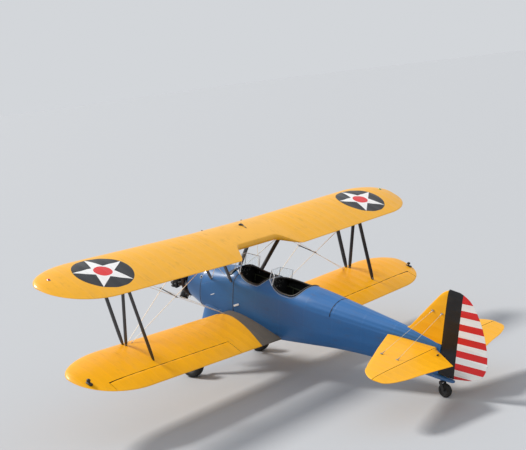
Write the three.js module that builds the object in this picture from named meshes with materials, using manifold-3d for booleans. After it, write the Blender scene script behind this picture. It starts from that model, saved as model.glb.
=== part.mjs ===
// A two-seat open-cockpit biplane with a radial engine, parked on its tail-wheel undercarriage.
// Millimetres. It is drawn level, +X to port, +Y aft, +Z up, with the upper wing's leading edge
// at the centre on (0, 0, WINGS.upper.z). The last group tips it back onto its three wheels.
import * as THREE from 'three';
import { ConvexGeometry } from 'three/addons/geometries/ConvexGeometry.js';
import { LoftGeometry } from 'three/addons/geometries/LoftGeometry.js';
import { mergeVertices } from 'three/addons/utils/BufferGeometryUtils.js';
import Module from 'manifold-3d';

const wasm = await Module();
wasm.setup();

// Clearances
const SEAT = 0.3;              // between fixed pieces that rest on each other
const RUNNING = 9;             // between a control surface and what it moves past
const BORE = 0.4;              // between a pin and its bore

// Wings: leading edge at the centre, tilt of the chord, dihedral and where it starts
const CHORD = 1524.5;
const TIP_LENGTH = 1063;
const TIP_WIDEST = 0.4;        // chord fraction where the rounded tip reaches furthest out
const WINGS = {
  upper: { y: 0, z: 1000, incidence: 4.26, dihedral: 1.322, bendAt: 906, halfSpan: 4902.5 },
  lower: { y: 669, z: -583.7, incidence: 3.2, dihedral: 1.763, bendAt: 0, halfSpan: 4741 },
};
const SECTION = { thickness: 0.13, camber: 0.022, camberAt: 0.4, edge: 0.0015 };
const CENTRE_HALF = WINGS.upper.bendAt;
const CUTOUT = { flatHalf: 500, chordLeft: 0.71 };
const LOWER_ROOT = 200;        // hidden in the fuselage before it is trimmed

// Ailerons, on the lower wings only
const AILERON = { hinge: 0.75, inner: 1460, outer: 4270, pin: 9, pinLength: 46 };
const COVE = 12;               // how far the cove stands off the aileron's nose
const LIP = 50;                // how far the lip under the aileron's outer end stands off its hinge line

// Fuselage stations: [y, half width, top, bottom, waist height, upper power, lower power]
const STATIONS = [
  [-95, 425, 165, -775, -280, 2.1, 2.9],
  [220, 428, 225, -792, -120, 2.2, 3.1],
  [600, 430, 300, -800, 30, 2.4, 3.3],
  [800, 431, 345, -800, 70, 2.5, 3.4],
  [1000, 432, 318, -802, 100, 2.1, 3.6],
  [1500, 432, 340, -812, 120, 2.0, 3.8],
  [1850, 432, 380, -816, 130, 2.0, 3.8],
  [2250, 432, 430, -742, 140, 2.0, 3.8],
  [2750, 412, 450, -640, 150, 2.0, 3.6],
  [3460, 335, 434, -505, 160, 2.0, 3.4],
  [4200, 238, 413, -418, 165, 2.0, 3.0],
  [4750, 163, 395, -384, 170, 2.0, 2.8],
  [5300, 78, 352, -348, 170, 2.0, 2.6],
  [5573, 38, 330, -332, 170, 2.0, 2.6],
];
const NOSE_END = STATIONS[0][0];
const SPLIT = 2750;            // joint of the cabin shell and the tail cone
const TAIL_END = STATIONS.at(-1)[0];
const SKIN = 22;
const AROUND = 24;             // points round a fuselage section
const FLOOR = { z: -470, thick: 12, front: 500, back: 2700 };

// Cockpits: openings in the deck, round ahead of their widest place and nearly square behind it
const COCKPITS = {
  front: { front: 700, widest: 1390, back: 1525, half: 350 },
  rear: { front: 1640, widest: 2200, back: 2510, half: 372 },
};
const OPENING_POWERS = { ahead: 2, behind: 4 };
const COAMING = 19;            // radius of the padded roll on the rim

// Power plant, all round the thrust line
const THRUST = -270;
const COWL = { front: -490, radius: 430 };
const ENGINE = {
  plane: -800, cylinders: 7, headRadius: 545, barrel: 62, case: 235, accessories: 265,
  back: COWL.front - 0.4, noseEnd: -985, noseRadius: 74, shaft: 35, shaftEnd: -1078,
};
// Cooling fins: distance of the first from the thrust line, spacing, thickness and radius
const BARREL_FINS = { count: 6, first: 248, pitch: 32, thick: 8, radius: 76 };
const HEAD_FINS = { count: 2, first: 452, pitch: 27, thick: 8, half: 64, reach: 70 };
// Pushrod tubes: radius, then how far ahead of the cylinders and how far apart, foot and head
const PUSHRODS = { radius: 9, foot: [200, 84, 28], head: [495, 74, 34] };
// rest is how far blade 1 leans from upright towards port when parked
const PROP = {
  radius: 1245, hubFront: -1118, hubBack: -1005, hub: 84, plane: -1052, socket: 52, root: 168, rest: 50,
};
const EXHAUST = { ring: 402, tube: 36, y: -655, bend: [-165, -420, -800], outlet: [-178, -120, -905] };

// Tail
const TAIL = { hingeY: 5510, hingeZ: 198, tube: 19 };
const RUDDER = { y: 5606, lean: 0.0126, bottom: -250 };

// Undercarriage
const MAIN = { x: 980, y: 300, z: -1645, tyre: 305, width: 196, rim: 172, axle: 31, legX: 782 };
const REAR = { y: 5741, z: -515, tyre: 127, width: 88, rim: 66, axle: 10, trail: 43 };
const TYRE_SIDES = 24;
const REAR_SIDES = 16;

const rad = THREE.MathUtils.degToRad;
const v = (x, y, z) => new THREE.Vector3(x, y, z);

// Nose-up angle at which the two tyre circles touch one level floor
const wheelbase = Math.hypot(REAR.y - MAIN.y, REAR.z - MAIN.z);
const PITCH = Math.atan2(REAR.z - MAIN.z, REAR.y - MAIN.y) + Math.asin((MAIN.tyre - REAR.tyre) / wheelbase);

// Solids and geometries

function toSolid(geometry) {
  const bare = new THREE.BufferGeometry();
  bare.setAttribute('position', geometry.attributes.position);
  bare.setIndex(geometry.index);
  const merged = mergeVertices(bare, 1e-3);
  return new wasm.Manifold(new wasm.Mesh({
    numProp: 3,
    vertProperties: new Float32Array(merged.attributes.position.array),
    triVerts: new Uint32Array(merged.index.array),
  }));
}

function toGeometry(solid) {
  const mesh = solid.getMesh();
  const geometry = new THREE.BufferGeometry();
  geometry.setAttribute('position', new THREE.BufferAttribute(new Float32Array(mesh.vertProperties), 3));
  geometry.setIndex(new THREE.BufferAttribute(new Uint32Array(mesh.triVerts), 1));
  return geometry;
}

function flipped(geometry) {
  const index = geometry.index.array;
  for (let i = 0; i < index.length; i += 3) {
    [index[i], index[i + 1]] = [index[i + 1], index[i]];
  }
  return geometry;
}

function volumeOf(geometry) {
  const at = geometry.attributes.position;
  const index = geometry.index.array;
  const [a, b, c] = [v(), v(), v()];
  let sum = 0;
  for (let i = 0; i < index.length; i += 3) {
    a.fromBufferAttribute(at, index[i]);
    b.fromBufferAttribute(at, index[i + 1]);
    c.fromBufferAttribute(at, index[i + 2]);
    sum += a.dot(b.cross(c));
  }
  return sum / 6;
}

// Twice the area that a ring of points encloses, as a vector along its normal
function ringNormal(ring) {
  return ring.reduce((sum, p, i) => sum.add(p.clone().cross(ring[(i + 1) % ring.length])), v());
}

// A closed body through rings of points, whichever way round they run
function loft(rings) {
  const lengthwise = rings.at(-1)[0].clone().sub(rings[0][0]);
  const backwards = ringNormal(rings[0]).dot(lengthwise) < 0;
  const ordered = backwards ? rings.map((ring) => ring.slice().reverse()) : rings;
  return toSolid(new LoftGeometry(ordered, { closed: true, capStart: true, capEnd: true }));
}

// A tube whose last ring is its first one again
function loop(rings) {
  const geometry = new LoftGeometry(rings, { closed: true, capStart: false, capEnd: false });
  return toSolid(volumeOf(geometry) < 0 ? flipped(geometry) : geometry);
}

function hull(points) {
  return toSolid(mergeVertices(new ConvexGeometry(points)));
}

function box(low, high) {
  const size = v(...high).sub(v(...low));
  const geometry = new THREE.BoxGeometry(size.x, size.y, size.z);
  const middle = v(...low).add(v(...high)).multiplyScalar(0.5);
  return toSolid(geometry.translate(middle.x, middle.y, middle.z));
}

function moved(solid, x, y, z) {
  return toSolid(toGeometry(solid).translate(x, y, z));
}

function mirrored(solid) {
  return toSolid(flipped(toGeometry(solid).scale(-1, 1, 1)));
}

function join(...solids) {
  return solids.reduce((sum, solid) => sum.add(solid));
}

// The largest of the bodies that a cut leaves
function mainBody(solid) {
  return solid.decompose().sort((a, b) => b.volume() - a.volume())[0];
}

// Matrix whose Y axis runs from one point towards another, standing on the first
function along(from, to) {
  const matrix = new THREE.Matrix4();
  const turn = new THREE.Quaternion().setFromUnitVectors(v(0, 1, 0), to.clone().sub(from).normalize());
  return matrix.compose(from, turn, v(1, 1, 1));
}

function rod(from, to, radius, sides = 12, endRadius = radius) {
  const length = from.distanceTo(to);
  const geometry = new THREE.CylinderGeometry(endRadius, radius, length, sides);
  return toSolid(geometry.translate(0, length / 2, 0).applyMatrix4(along(from, to)));
}

// A body turned about an axis: pairs are [distance along the axis, radius]
function turned(pairs, from, to, sides = 24) {
  const points = pairs.map(([at, radius]) => new THREE.Vector2(radius, at));
  const geometry = new THREE.LatheGeometry(points, sides);
  const shifted = geometry.applyMatrix4(along(from, to));
  return toSolid(volumeOf(shifted) < 0 ? flipped(shifted) : shifted);
}

// A streamlined bar, its chord kept as near as it can be to the fore-and-aft line
function fairedBar(from, to, chord, thick, endChord = chord, endThick = thick, points = 14) {
  const axis = to.clone().sub(from).normalize();
  const aft = v(0, 1, 0).addScaledVector(axis, -axis.y).normalize();
  const side = aft.clone().cross(axis);
  const ring = (centre, c, t) => Array.from({ length: points }, (_, i) => {
    const turn = (2 * Math.PI * i) / points;
    const across = 0.5 * t * Math.sin(turn) * (1 - 0.35 * Math.cos(turn));
    return centre.clone().addScaledVector(aft, 0.5 * c * Math.cos(turn)).addScaledVector(side, across);
  });
  return loft([ring(from, chord, thick), ring(to, endChord, endThick)]);
}

// Fuselage form

function bodyAt(y) {
  const passed = STATIONS.filter((row) => row[0] < y).length;
  const next = THREE.MathUtils.clamp(passed, 1, STATIONS.length - 1);
  const [a, b] = [STATIONS[next - 1], STATIONS[next]];
  const share = (y - a[0]) / (b[0] - a[0]);
  return a.map((value, i) => value + share * (b[i] - value));
}

// One ring of the fuselage, drawn in or out by grow
function bodyRing(y, grow, [, half, top, bottom, waist, upper, lower] = bodyAt(y)) {
  return Array.from({ length: AROUND }, (_, i) => {
    const turn = (2 * Math.PI * (i + 0.5)) / AROUND;
    const [cos, sin] = [Math.cos(turn), Math.sin(turn)];
    const power = 2 / (sin > 0 ? upper : lower);
    const reach = (sin > 0 ? top - waist : waist - bottom) + grow;
    const x = (half + grow) * Math.sign(cos) * Math.abs(cos) ** power;
    return v(x, y, waist + reach * Math.sign(sin) * Math.abs(sin) ** power);
  });
}

function bodyLoft(from, to, grow) {
  const between = STATIONS.map((row) => row[0]).filter((y) => y > from + 1 && y < to - 1);
  return loft([from, ...between, to].map((y) => bodyRing(y, grow)));
}

function deckHeight(x, y) {
  const [, half, top, , waist, upper] = bodyAt(y);
  return waist + (top - waist) * Math.max(0, 1 - Math.abs(x / half) ** upper) ** (1 / upper);
}

// Plan of a cockpit opening, drawn in or out by grow
function openingPlan({ front, widest, back, half }, grow, count = 24) {
  return Array.from({ length: count }, (_, i) => {
    const turn = (2 * Math.PI * i) / count;
    const [cos, sin] = [Math.cos(turn), Math.sin(turn)];
    const power = 2 / (sin < 0 ? OPENING_POWERS.ahead : OPENING_POWERS.behind);
    const reach = (sin < 0 ? widest - front : back - widest) + grow;
    const x = (half + grow) * Math.sign(cos) * Math.abs(cos) ** power;
    return new THREE.Vector2(x, widest + reach * Math.sign(sin) * Math.abs(sin) ** power);
  });
}

function openingCut(cockpit, grow) {
  const plan = openingPlan(cockpit, grow);
  const [low, high] = [0, 600];
  return loft([low, high].map((z) => plan.map((p) => v(p.x, p.y, z))));
}

// The cabin shell; grow thickens it on every face, for trimming its neighbours
function cabinShell(grow) {
  const outer = bodyLoft(NOSE_END - grow, SPLIT + grow, grow);
  const inner = bodyLoft(NOSE_END + SKIN - grow, SPLIT - SKIN + grow, -SKIN - grow);
  const cuts = Object.values(COCKPITS).map((cockpit) => openingCut(cockpit, -grow));
  return outer.subtract(inner).subtract(join(...cuts));
}

const envelope = bodyLoft(NOSE_END - SEAT, TAIL_END + SEAT, SEAT);
const insideSpace = bodyLoft(NOSE_END + SKIN + SEAT, SPLIT - SKIN - SEAT, -SKIN - SEAT);

// Wing form

function halfThickness(c) {
  const { thickness, edge } = SECTION;
  const curve = 0.2969 * Math.sqrt(c) - 0.126 * c - 0.3516 * c ** 2 + 0.2843 * c ** 3 - 0.1036 * c ** 4;
  return 5 * thickness * curve + edge * c;
}

function camberLine(c) {
  const { camber, camberAt: at } = SECTION;
  const front = (camber / at ** 2) * (2 * at * c - c * c);
  const back = (camber / (1 - at) ** 2) * (1 - 2 * at + 2 * at * c - c * c);
  return c < at ? front : back;
}

// Where a rib stands: its shrink towards the tip, leading edge and chord direction
function ribAt(wing, x) {
  const out = Math.abs(x);
  const past = Math.max(0, out - (wing.halfSpan - TIP_LENGTH)) / TIP_LENGTH;
  const shrink = Math.sqrt(Math.max(0, 1 - past * past));
  const tilt = rad(wing.incidence);
  const start = TIP_WIDEST * (1 - shrink) * CHORD;
  const rise = Math.max(0, out - wing.bendAt) * Math.tan(rad(wing.dihedral));
  return {
    x, chord: CHORD * shrink, tilt,
    y: wing.y + start * Math.cos(tilt),
    z: wing.z + rise - start * Math.sin(tilt),
  };
}

function ribPoint(rib, c, up) {
  return v(
    rib.x,
    rib.y + rib.chord * (c * Math.cos(rib.tilt) + up * Math.sin(rib.tilt)),
    rib.z + rib.chord * (-c * Math.sin(rib.tilt) + up * Math.cos(rib.tilt)),
  );
}

// Heights of the top and the underside at a place in plan
function skinsAt(wing, x, y) {
  const rib = ribAt(wing, x);
  const c = THREE.MathUtils.clamp((y - rib.y) / (rib.chord * Math.cos(rib.tilt)), 0, 1);
  const middle = camberLine(c);
  const half = halfThickness(c);
  return { top: ribPoint(rib, c, middle + half).z, bottom: ribPoint(rib, c, middle - half).z };
}

// A closed rib outline, cut short at a chord fraction and rounded there
function ribRing(wing, x, end = 1) {
  const rib = ribAt(wing, x);
  const radius = Math.min(halfThickness(end), 0.04);
  const nose = [0, 0.006, 0.025, 0.06, 0.12, 0.22, 0.36, 0.54, 0.76, 1];
  const chords = nose.map((share) => share * (end - radius));
  const rounding = [40, 80].map((angle) => end - radius + radius * Math.sin(rad(angle)));
  const full = [...chords, ...rounding];
  const half = (c) => {
    const over = Math.max(0, (c - (end - radius)) / radius);
    return halfThickness(c) * Math.sqrt(Math.max(0, 1 - over * over));
  };
  const top = full.map((c) => ribPoint(rib, c, camberLine(c) + half(c)));
  const under = full.slice(1).reverse().map((c) => ribPoint(rib, c, camberLine(c) - half(c)));
  return [...top, ...under];
}

const TIP_TURNS = [18, 34, 48, 60, 71, 80, 86];

function outerPanel(wing, from) {
  const bend = wing.halfSpan - TIP_LENGTH;
  const tips = TIP_TURNS.map((turn) => bend + TIP_LENGTH * Math.sin(rad(turn)));
  return loft([from, bend, ...tips].map((x) => ribRing(wing, x)));
}

// Chord left at the centre section's trailing-edge cutout
function chordLeft(x) {
  const past = (Math.abs(x) - CUTOUT.flatHalf) / (CENTRE_HALF - CUTOUT.flatHalf);
  const share = THREE.MathUtils.clamp(past, 0, 1);
  return CUTOUT.chordLeft + (1 - CUTOUT.chordLeft) * 0.5 * (1 - Math.cos(Math.PI * share));
}

function centreSection() {
  const side = [500, 580, 660, 740, 820, CENTRE_HALF - SEAT];
  const stations = [...side.map((x) => -x).reverse(), ...side];
  return loft(stations.map((x) => ribRing(WINGS.upper, x, chordLeft(x))));
}

// Hinge line of an aileron: points and radii of its rounded nose
function aileronHinge(x) {
  const wing = WINGS.lower;
  const base = ribPoint(ribAt(wing, 0), AILERON.hinge, 0);
  const { top, bottom } = skinsAt(wing, x, base.y);
  return { at: v(x, base.y, (top + bottom) / 2), radius: (top - bottom) / 2 };
}

function aileronNose(from, to, grow) {
  const [start, finish] = [aileronHinge(AILERON.inner), aileronHinge(3600)];
  const way = finish.at.clone().sub(start.at).normalize();
  const onAxis = (x) => start.at.clone().addScaledVector(way, (x - start.at.x) / way.x);
  const xs = [from, 3600, 3900, to];
  const pairs = xs.map((x) => [(x - from) / way.x, aileronHinge(x).radius - 1 + grow]);
  const ends = [[0, 0], ...pairs, [pairs.at(-1)[0], 0]];
  return { solid: turned(ends, onAxis(from), onAxis(to), 16), onAxis };
}

function lowerWingAndAileron() {
  const whole = outerPanel(WINGS.lower, LOWER_ROOT);
  const { inner, outer, pin, pinLength } = AILERON;
  const hingeY = aileronHinge(inner).at.y;
  const [low, high, back] = [-900, 0, 2400];
  const region = (grow) => box([inner - grow, hingeY - grow, low], [outer + grow, back, high]);
  const nose = aileronNose(inner, outer, 0);
  const cove = aileronNose(inner - RUNNING, outer + RUNNING, COVE);
  // Towards the tip the flap's lower edge swings wider than the cove, and the wing's lip is cut back
  const under = [[3600, RUNNING], [outer + RUNNING, LIP]].flatMap(([x, ahead]) => (
    [low, nose.onAxis(x).z - 12].flatMap((z) => [ahead, 0].map((gap) => v(x, hingeY - gap, z)))));
  const pins = (radius, clear) => [[inner, 1], [outer, -1]].map(([x, way]) => rod(
    nose.onAxis(x - way * (RUNNING + 20)), nose.onAxis(x + way * (pinLength + clear)), radius, 16));
  const wing = whole.subtract(region(RUNNING)).subtract(cove.solid).subtract(hull(under))
    .add(join(...pins(pin, 0)));
  const flap = whole.intersect(region(0)).add(nose.solid.intersect(whole))
    .subtract(join(...pins(pin + BORE, 2)));
  return { wing, flap };
}

// Tail surfaces: rings across the span from [span, leading edge, trailing edge, half thickness]
const TAILPLANE = [
  [0, 4474, 6180, 33], [400, 4638, 6088, 33], [788, 4797, 5999, 33], [1100, 4937, 5935, 32],
  [1378, 5060, 5891, 31], [1540, 5142, 5848, 29], [1676, 5217, 5800, 26], [1776, 5327, 5742, 21],
  [1828, 5420, 5680, 15], [1846, 5490, 5560, 8],
];
const FIN = [
  [250, 4758, 6492, 33], [459, 4910, 6462, 33], [771, 5135, 6355, 33], [938, 5255, 6273, 32],
  [1088, 5367, 6179, 30], [1190, 5443, 6095, 27], [1260, 5512, 6010, 23], [1310, 5590, 5905, 17],
  [1336, 5660, 5820, 10],
];
const RUDDER_FOOT = [
  [-250, 5606, 5880, 30], [-205, 5606, 6060, 31], [-164, 5606, 6201, 32], [-118, 5606, 6303, 33],
  [-46, 5606, 6400, 33], [17, 5606, 6452, 33], [146, 5606, 6495, 33], [250, 5606, 6492, 33],
];
const TAIL_EDGE = 4;           // half thickness at the trailing edge

function foilRing(front, hinge, back, half, place) {
  const hingeSafe = THREE.MathUtils.clamp(hinge, front + 0.3 * (back - front), back - 0.3 * (back - front));
  const ahead = [0, 0.04, 0.15, 0.36, 0.66].map(
    (u) => [front + u * (hingeSafe - front), half * Math.sqrt(1 - (1 - u) ** 2)]);
  const behind = [0, 0.5, 1].map(
    (u) => [hingeSafe + u * (back - hingeSafe), half + u * (Math.min(TAIL_EDGE, half) - half)]);
  const side = [...ahead, ...behind];
  const other = side.slice(1).reverse().map(([y, h]) => [y, -h]);
  return [...side, ...other].map(([y, h]) => place(y, h));
}

// A rudder foot has no leading part: a plain wedge aft of the hinge
function wedgeRing(front, back, half, place) {
  const side = [[front, half], [(front + back) / 2, (half + TAIL_EDGE) / 2], [back, TAIL_EDGE]];
  return [...side, ...side.slice().reverse().map(([y, h]) => [y, -h])].map(([y, h]) => place(y, h));
}

const tailAxis = (x) => v(x, TAIL.hingeY, TAIL.hingeZ);
const rudderAxis = (z) => v(0, RUDDER.y + RUDDER.lean * z, z);

function noseRoll(stations, axis, grow, sides = 14) {
  const [from, to] = [axis(stations[0][0]), axis(stations.at(-1)[0])];
  const pairs = stations.map(([s, radius]) => [axis(s).distanceTo(from), radius + grow]);
  return turned([[0, 0], ...pairs, [pairs.at(-1)[0], 0]], from, to, sides);
}

function tailplaneAndElevator() {
  const rings = TAILPLANE.map(([x, front, back, half]) => foilRing(
    front, TAIL.hingeY, back, half, (y, h) => v(x, y, TAIL.hingeZ + h)));
  const whole = loft(rings);
  const heights = [TAIL.hingeZ - 300, TAIL.hingeZ + 300];
  const rootX = 60;
  // [span, radius] of the elevator's rounded nose
  const rolls = [[rootX, 32], [1378, 30], [1676, 25], [1790, 17]];
  const wider = [[-10, 32], [1378, 30], [1676, 25], [1860, 15]];
  // Plan of what moves: its inner edge slants from the hinge to the trailing edge
  const plan = [[rootX, TAIL.hingeY], [400, 6088], [480, 6300], [2000, 6300], [2000, TAIL.hingeY]];
  const aft = hull(heights.flatMap((z) => plan.map(([x, y]) => v(x, y, z))));
  const roll = noseRoll(rolls, tailAxis, 0);
  const elevator = whole.intersect(aft).add(roll)
    .add(rod(tailAxis(SEAT / 2), tailAxis(rootX + 20), TAIL.tube, 20));
  const behind = box([-10, TAIL.hingeY, heights[0]], [2100, 6400, heights[1]]);
  const plane = whole.subtract(behind).subtract(noseRoll(wider, tailAxis, RUNNING));
  return { plane, elevator };
}

function finAndRudder() {
  const hinge = (z) => rudderAxis(z).y;
  const upper = loft(FIN.map(([z, front, back, half]) => foilRing(
    front, hinge(z), back, half, (y, h) => v(h, y, z))));
  const foot = loft(RUDDER_FOOT.map(([z, , back, half]) => wedgeRing(
    hinge(z), back, half, (y, h) => v(h, y, z))));
  const slab = (from, to, bottom, top) => hull([bottom, top].flatMap((z) => [from, to].flatMap(
    (aft) => [-200, 200].map((x) => v(x, hinge(z) + aft, z)))));
  // [height, radius] of the rudder's rounded nose
  const rolls = [[RUDDER.bottom, 30], [938, 31], [1190, 26], [1300, 16]];
  const wider = [[RUDDER.bottom - 30, 30], [938, 31], [1190, 26], [1370, 10]];
  const pin = rod(rudderAxis(RUDDER.bottom - 20), rudderAxis(RUDDER.bottom + 50), 9 + BORE, 16);
  const rudder = upper.intersect(slab(0, 1200, 240, 1400)).add(foot).add(noseRoll(rolls, rudderAxis, 0))
    .subtract(pin);
  const cove = noseRoll(wider, rudderAxis, RUNNING);
  // Behind the sternpost the fin stops at the top of the fuselage
  const sternpost = box([-100, TAIL_END - 60, 200], [100, TAIL_END + 60, 336]);
  const fin = upper.subtract(slab(0, 1200, 200, 1400)).subtract(cove).subtract(envelope).subtract(sternpost);
  return { fin, rudder, cove };
}

// Power plant

const onThrust = (y) => v(0, y, THRUST);

function accessoryCowl() {
  const rear = bodyRing(NOSE_END - SEAT, 0, bodyAt(NOSE_END));
  const circle = (y, radius) => rear.map((p) => {
    const turn = Math.atan2(p.z - THRUST, p.x);
    return v(radius * Math.cos(turn), y, THRUST + radius * Math.sin(turn));
  });
  return loft([circle(COWL.front, COWL.radius - 8), circle(COWL.front + 16, COWL.radius), rear]);
}

function engine() {
  const { plane, cylinders, headRadius, barrel, accessories, back } = ENGINE;
  const { noseEnd, noseRadius, shaft, shaftEnd } = ENGINE;
  // Crankcase and nose: [forward of the rear face, radius]
  const forward = (y) => back - y;
  const profile = [
    [0, 0], [0, accessories], [forward(-640), accessories], [forward(-690), 205],
    [forward(plane) - 72, ENGINE.case], [forward(plane) + 62, ENGINE.case],
    [forward(-892), 186], [forward(-935), 122], [forward(noseEnd) - 14, noseRadius + 8],
    [forward(noseEnd), noseRadius], [forward(noseEnd), shaft],
    [forward(shaftEnd), shaft], [forward(shaftEnd), 0],
  ];
  const body = turned(profile, onThrust(back), onThrust(back - 1), 28);
  const foot = 200;
  const top = headRadius - 222;
  // Barrel with its fins: [distance from the foot, radius]
  const fins = Array.from({ length: BARREL_FINS.count }, (_, i) => {
    const low = BARREL_FINS.first - foot + i * BARREL_FINS.pitch;
    const high = low + BARREL_FINS.thick;
    return [[low, barrel], [low, BARREL_FINS.radius], [high, BARREL_FINS.radius], [high, barrel]];
  });
  const pairs = [[0, 0], [0, barrel], ...fins.flat(), [top, barrel - 14], [top, 0]];
  const parts = Array.from({ length: cylinders }, (_, i) => {
    const angle = (2 * Math.PI * i) / cylinders;
    const right = v(Math.cos(angle), 0, -Math.sin(angle));
    const out = v(Math.sin(angle), 0, Math.cos(angle));
    const at = (r, y, s = 0) => onThrust(y).addScaledVector(out, r).addScaledVector(right, s);
    const slab = ([low, high], [front, rear], [port, starboard]) => hull([low, high].flatMap(
      (r) => [front, rear].flatMap((y) => [port, starboard].map((s) => at(r, y, s)))));
    const stack = turned(pairs, at(foot, plane), at(foot + 100, plane), 9);
    const head = slab([headRadius - 100, headRadius - 26], [plane - 62, plane + 75], [-46, 46]);
    const { count, first, pitch, thick, half, reach } = HEAD_FINS;
    const plates = Array.from({ length: count }, (_, k) => first + k * pitch).map((r) => slab(
      [r, r + thick], [plane - reach, plane + reach], [-half, half]));
    const rockers = [-34, 34].map(
      (s) => slab([headRadius - 60, headRadius], [plane - 84, plane - 10], [s - 20, s + 20]));
    const tubes = [-1, 1].map((side) => {
      const ends = [PUSHRODS.foot, PUSHRODS.head].map(([r, ahead, s]) => at(r, plane - ahead, side * s));
      return rod(...ends, PUSHRODS.radius, 6);
    });
    return join(stack, head, ...plates, ...rockers, ...tubes);
  });
  return join(body, ...parts);
}

function exhaust() {
  const { ring, tube, y } = EXHAUST;
  const { plane, cylinders, headRadius } = ENGINE;
  const sides = 8;
  // The collector is a full ring of round tube behind the cylinders
  const around = 24;
  const collector = loop(Array.from({ length: around + 1 }, (_, i) => {
    const turn = (2 * Math.PI * (i % around)) / around;
    return Array.from({ length: sides }, (_, j) => {
      const roll = (2 * Math.PI * j) / sides;
      const r = ring + tube * Math.cos(roll);
      return v(r * Math.sin(turn), y + tube * Math.sin(roll), THRUST + r * Math.cos(turn));
    });
  }));
  const stubs = Array.from({ length: cylinders }, (_, i) => {
    const angle = (2 * Math.PI * i) / cylinders;
    const at = (r, where) => v(r * Math.sin(angle), where, THRUST + r * Math.cos(angle));
    return rod(at(ring + 8, y), at(headRadius - 70, plane + 60), 24, 6);
  });
  const start = v(-110, y, THRUST - Math.sqrt(ring ** 2 - 110 ** 2));
  const bend = v(...EXHAUST.bend);
  const end = v(...EXHAUST.outlet);
  const pipe = join(rod(start, bend, 44, 12), rod(bend, end, 44, 12), toSolid(
    new THREE.SphereGeometry(44.5, 12, 8).translate(bend.x, bend.y, bend.z)));
  const bore = rod(end.clone().lerp(bend, 0.35), end.clone().lerp(bend, -0.1), 39, 14);
  const ports = box([-700, plane - 100, -1000], [700, plane + 75 + SEAT, 500]);
  return join(collector, ...stubs, pipe).subtract(bore).subtract(ports);
}

function propellerHub() {
  const { hubFront, hubBack, hub, plane, socket, root, rest } = PROP;
  const { shaft, shaftEnd } = ENGINE;
  const arm = v(Math.sin(rad(rest)), 0, Math.cos(rad(rest))).multiplyScalar(root);
  const length = hubBack - hubFront;
  const profile = [
    [0, 0], [0, 48], [22, 48], [30, hub - 8], [length - 12, hub], [length, hub - 10], [length, 0]];
  const body = turned(profile, onThrust(hubFront), onThrust(hubBack), 16);
  const barrel = rod(onThrust(plane).sub(arm), onThrust(plane).add(arm), socket, 14);
  const bore = rod(onThrust(hubBack + 5), onThrust(shaftEnd - 3), shaft + BORE, 24);
  return join(body, barrel).subtract(bore);
}

// Blade stations: [radius, chord, thickness, pitch angle]
const BLADE = [
  [PROP.root + SEAT, 88, 86, 60], [230, 92, 78, 52], [330, 134, 56, 42], [470, 178, 40, 33],
  [650, 196, 28, 26], [830, 190, 21, 21], [1000, 170, 15, 18], [1120, 140, 11, 16],
  [1200, 98, 8, 15], [1236, 52, 5, 15], [PROP.radius, 20, 3.5, 15],
];

function blade() {
  const points = 12;
  return loft(BLADE.map(([r, chord, thick, pitch]) => Array.from({ length: points }, (_, i) => {
    const turn = (2 * Math.PI * i) / points;
    const [a, b] = [0.5 * chord * Math.cos(turn), 0.5 * thick * Math.sin(turn)];
    const [cos, sin] = [Math.cos(rad(pitch)), Math.sin(rad(pitch))];
    return v(a * cos - b * sin, PROP.plane + a * sin + b * cos, THRUST + r);
  })));
}

// Wheels, drawn about their own centre with the axle on X

// Tyres are turned with flats, and the middle of each flat lies on the true radius
function tyre(trueRadius, rim, width, sides) {
  const radius = trueRadius / Math.cos(Math.PI / sides);
  const w = width / 2;
  const side = (radius - rim) / 2;
  const profile = [
    [rim, -0.62 * w], [rim + 0.5 * side, -0.88 * w], [rim + side, -w], [rim + 1.5 * side, -0.86 * w],
    [radius - 0.1 * side, -0.52 * w], [radius, -0.22 * w]];
  const other = profile.map(([r, x]) => [r, -x]).reverse();
  const points = [...profile, ...other, profile[0]].map(([r, x]) => new THREE.Vector2(r, x));
  const geometry = new THREE.LatheGeometry(points, sides, Math.PI / sides).rotateZ(Math.PI / 2);
  return toSolid(volumeOf(geometry) < 0 ? flipped(geometry) : geometry);
}

function disc(rim, width, bore, dish, sides) {
  const w = width / 2;
  const points = [[bore, -w], [0.55 * rim, -w], [rim - 12, -0.8 * w], [rim - SEAT, -w], [rim - SEAT, w],
    [rim - 12, 0.86 * w], [0.6 * rim, w + dish], [bore + 16, w + dish + 6], [bore, w + dish + 6], [bore, -w]]
    .map(([r, x]) => new THREE.Vector2(r, x));
  const geometry = new THREE.LatheGeometry(points, sides, Math.PI / sides).rotateZ(-Math.PI / 2);
  return toSolid(volumeOf(geometry) < 0 ? flipped(geometry) : geometry);
}

function mainLeg() {
  const { y, z, legX, axle, x } = MAIN;
  const top = v(300, y - 45, -600);
  const knee = v(620, y - 25, -1205);
  const foot = v(legX, y, z);
  const upper = fairedBar(top, knee, 560, 176, 320, 136);
  const lower = fairedBar(knee, v(legX - 10, y, z - 10), 320, 136, 150, 104);
  const block = rod(foot.clone().setX(legX - 58), foot.clone().setX(legX + 66), 62, 16);
  const spindle = rod(foot, foot.clone().setX(x + 58), axle, TYRE_SIDES);
  return join(upper, lower, block, spindle);
}

// Tail-wheel unit, in a frame that stands upright when the aircraft is parked:
// the wheel's centre is its origin and the swivel runs up through (0, -trail)
const FORK = { crownLow: 142, crownHigh: 172, arm: 56, armThick: 11, stem: 17, stemTop: 232 };
const HOUSING = { radius: 33, low: FORK.crownHigh + RUNNING, high: 246 };

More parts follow.
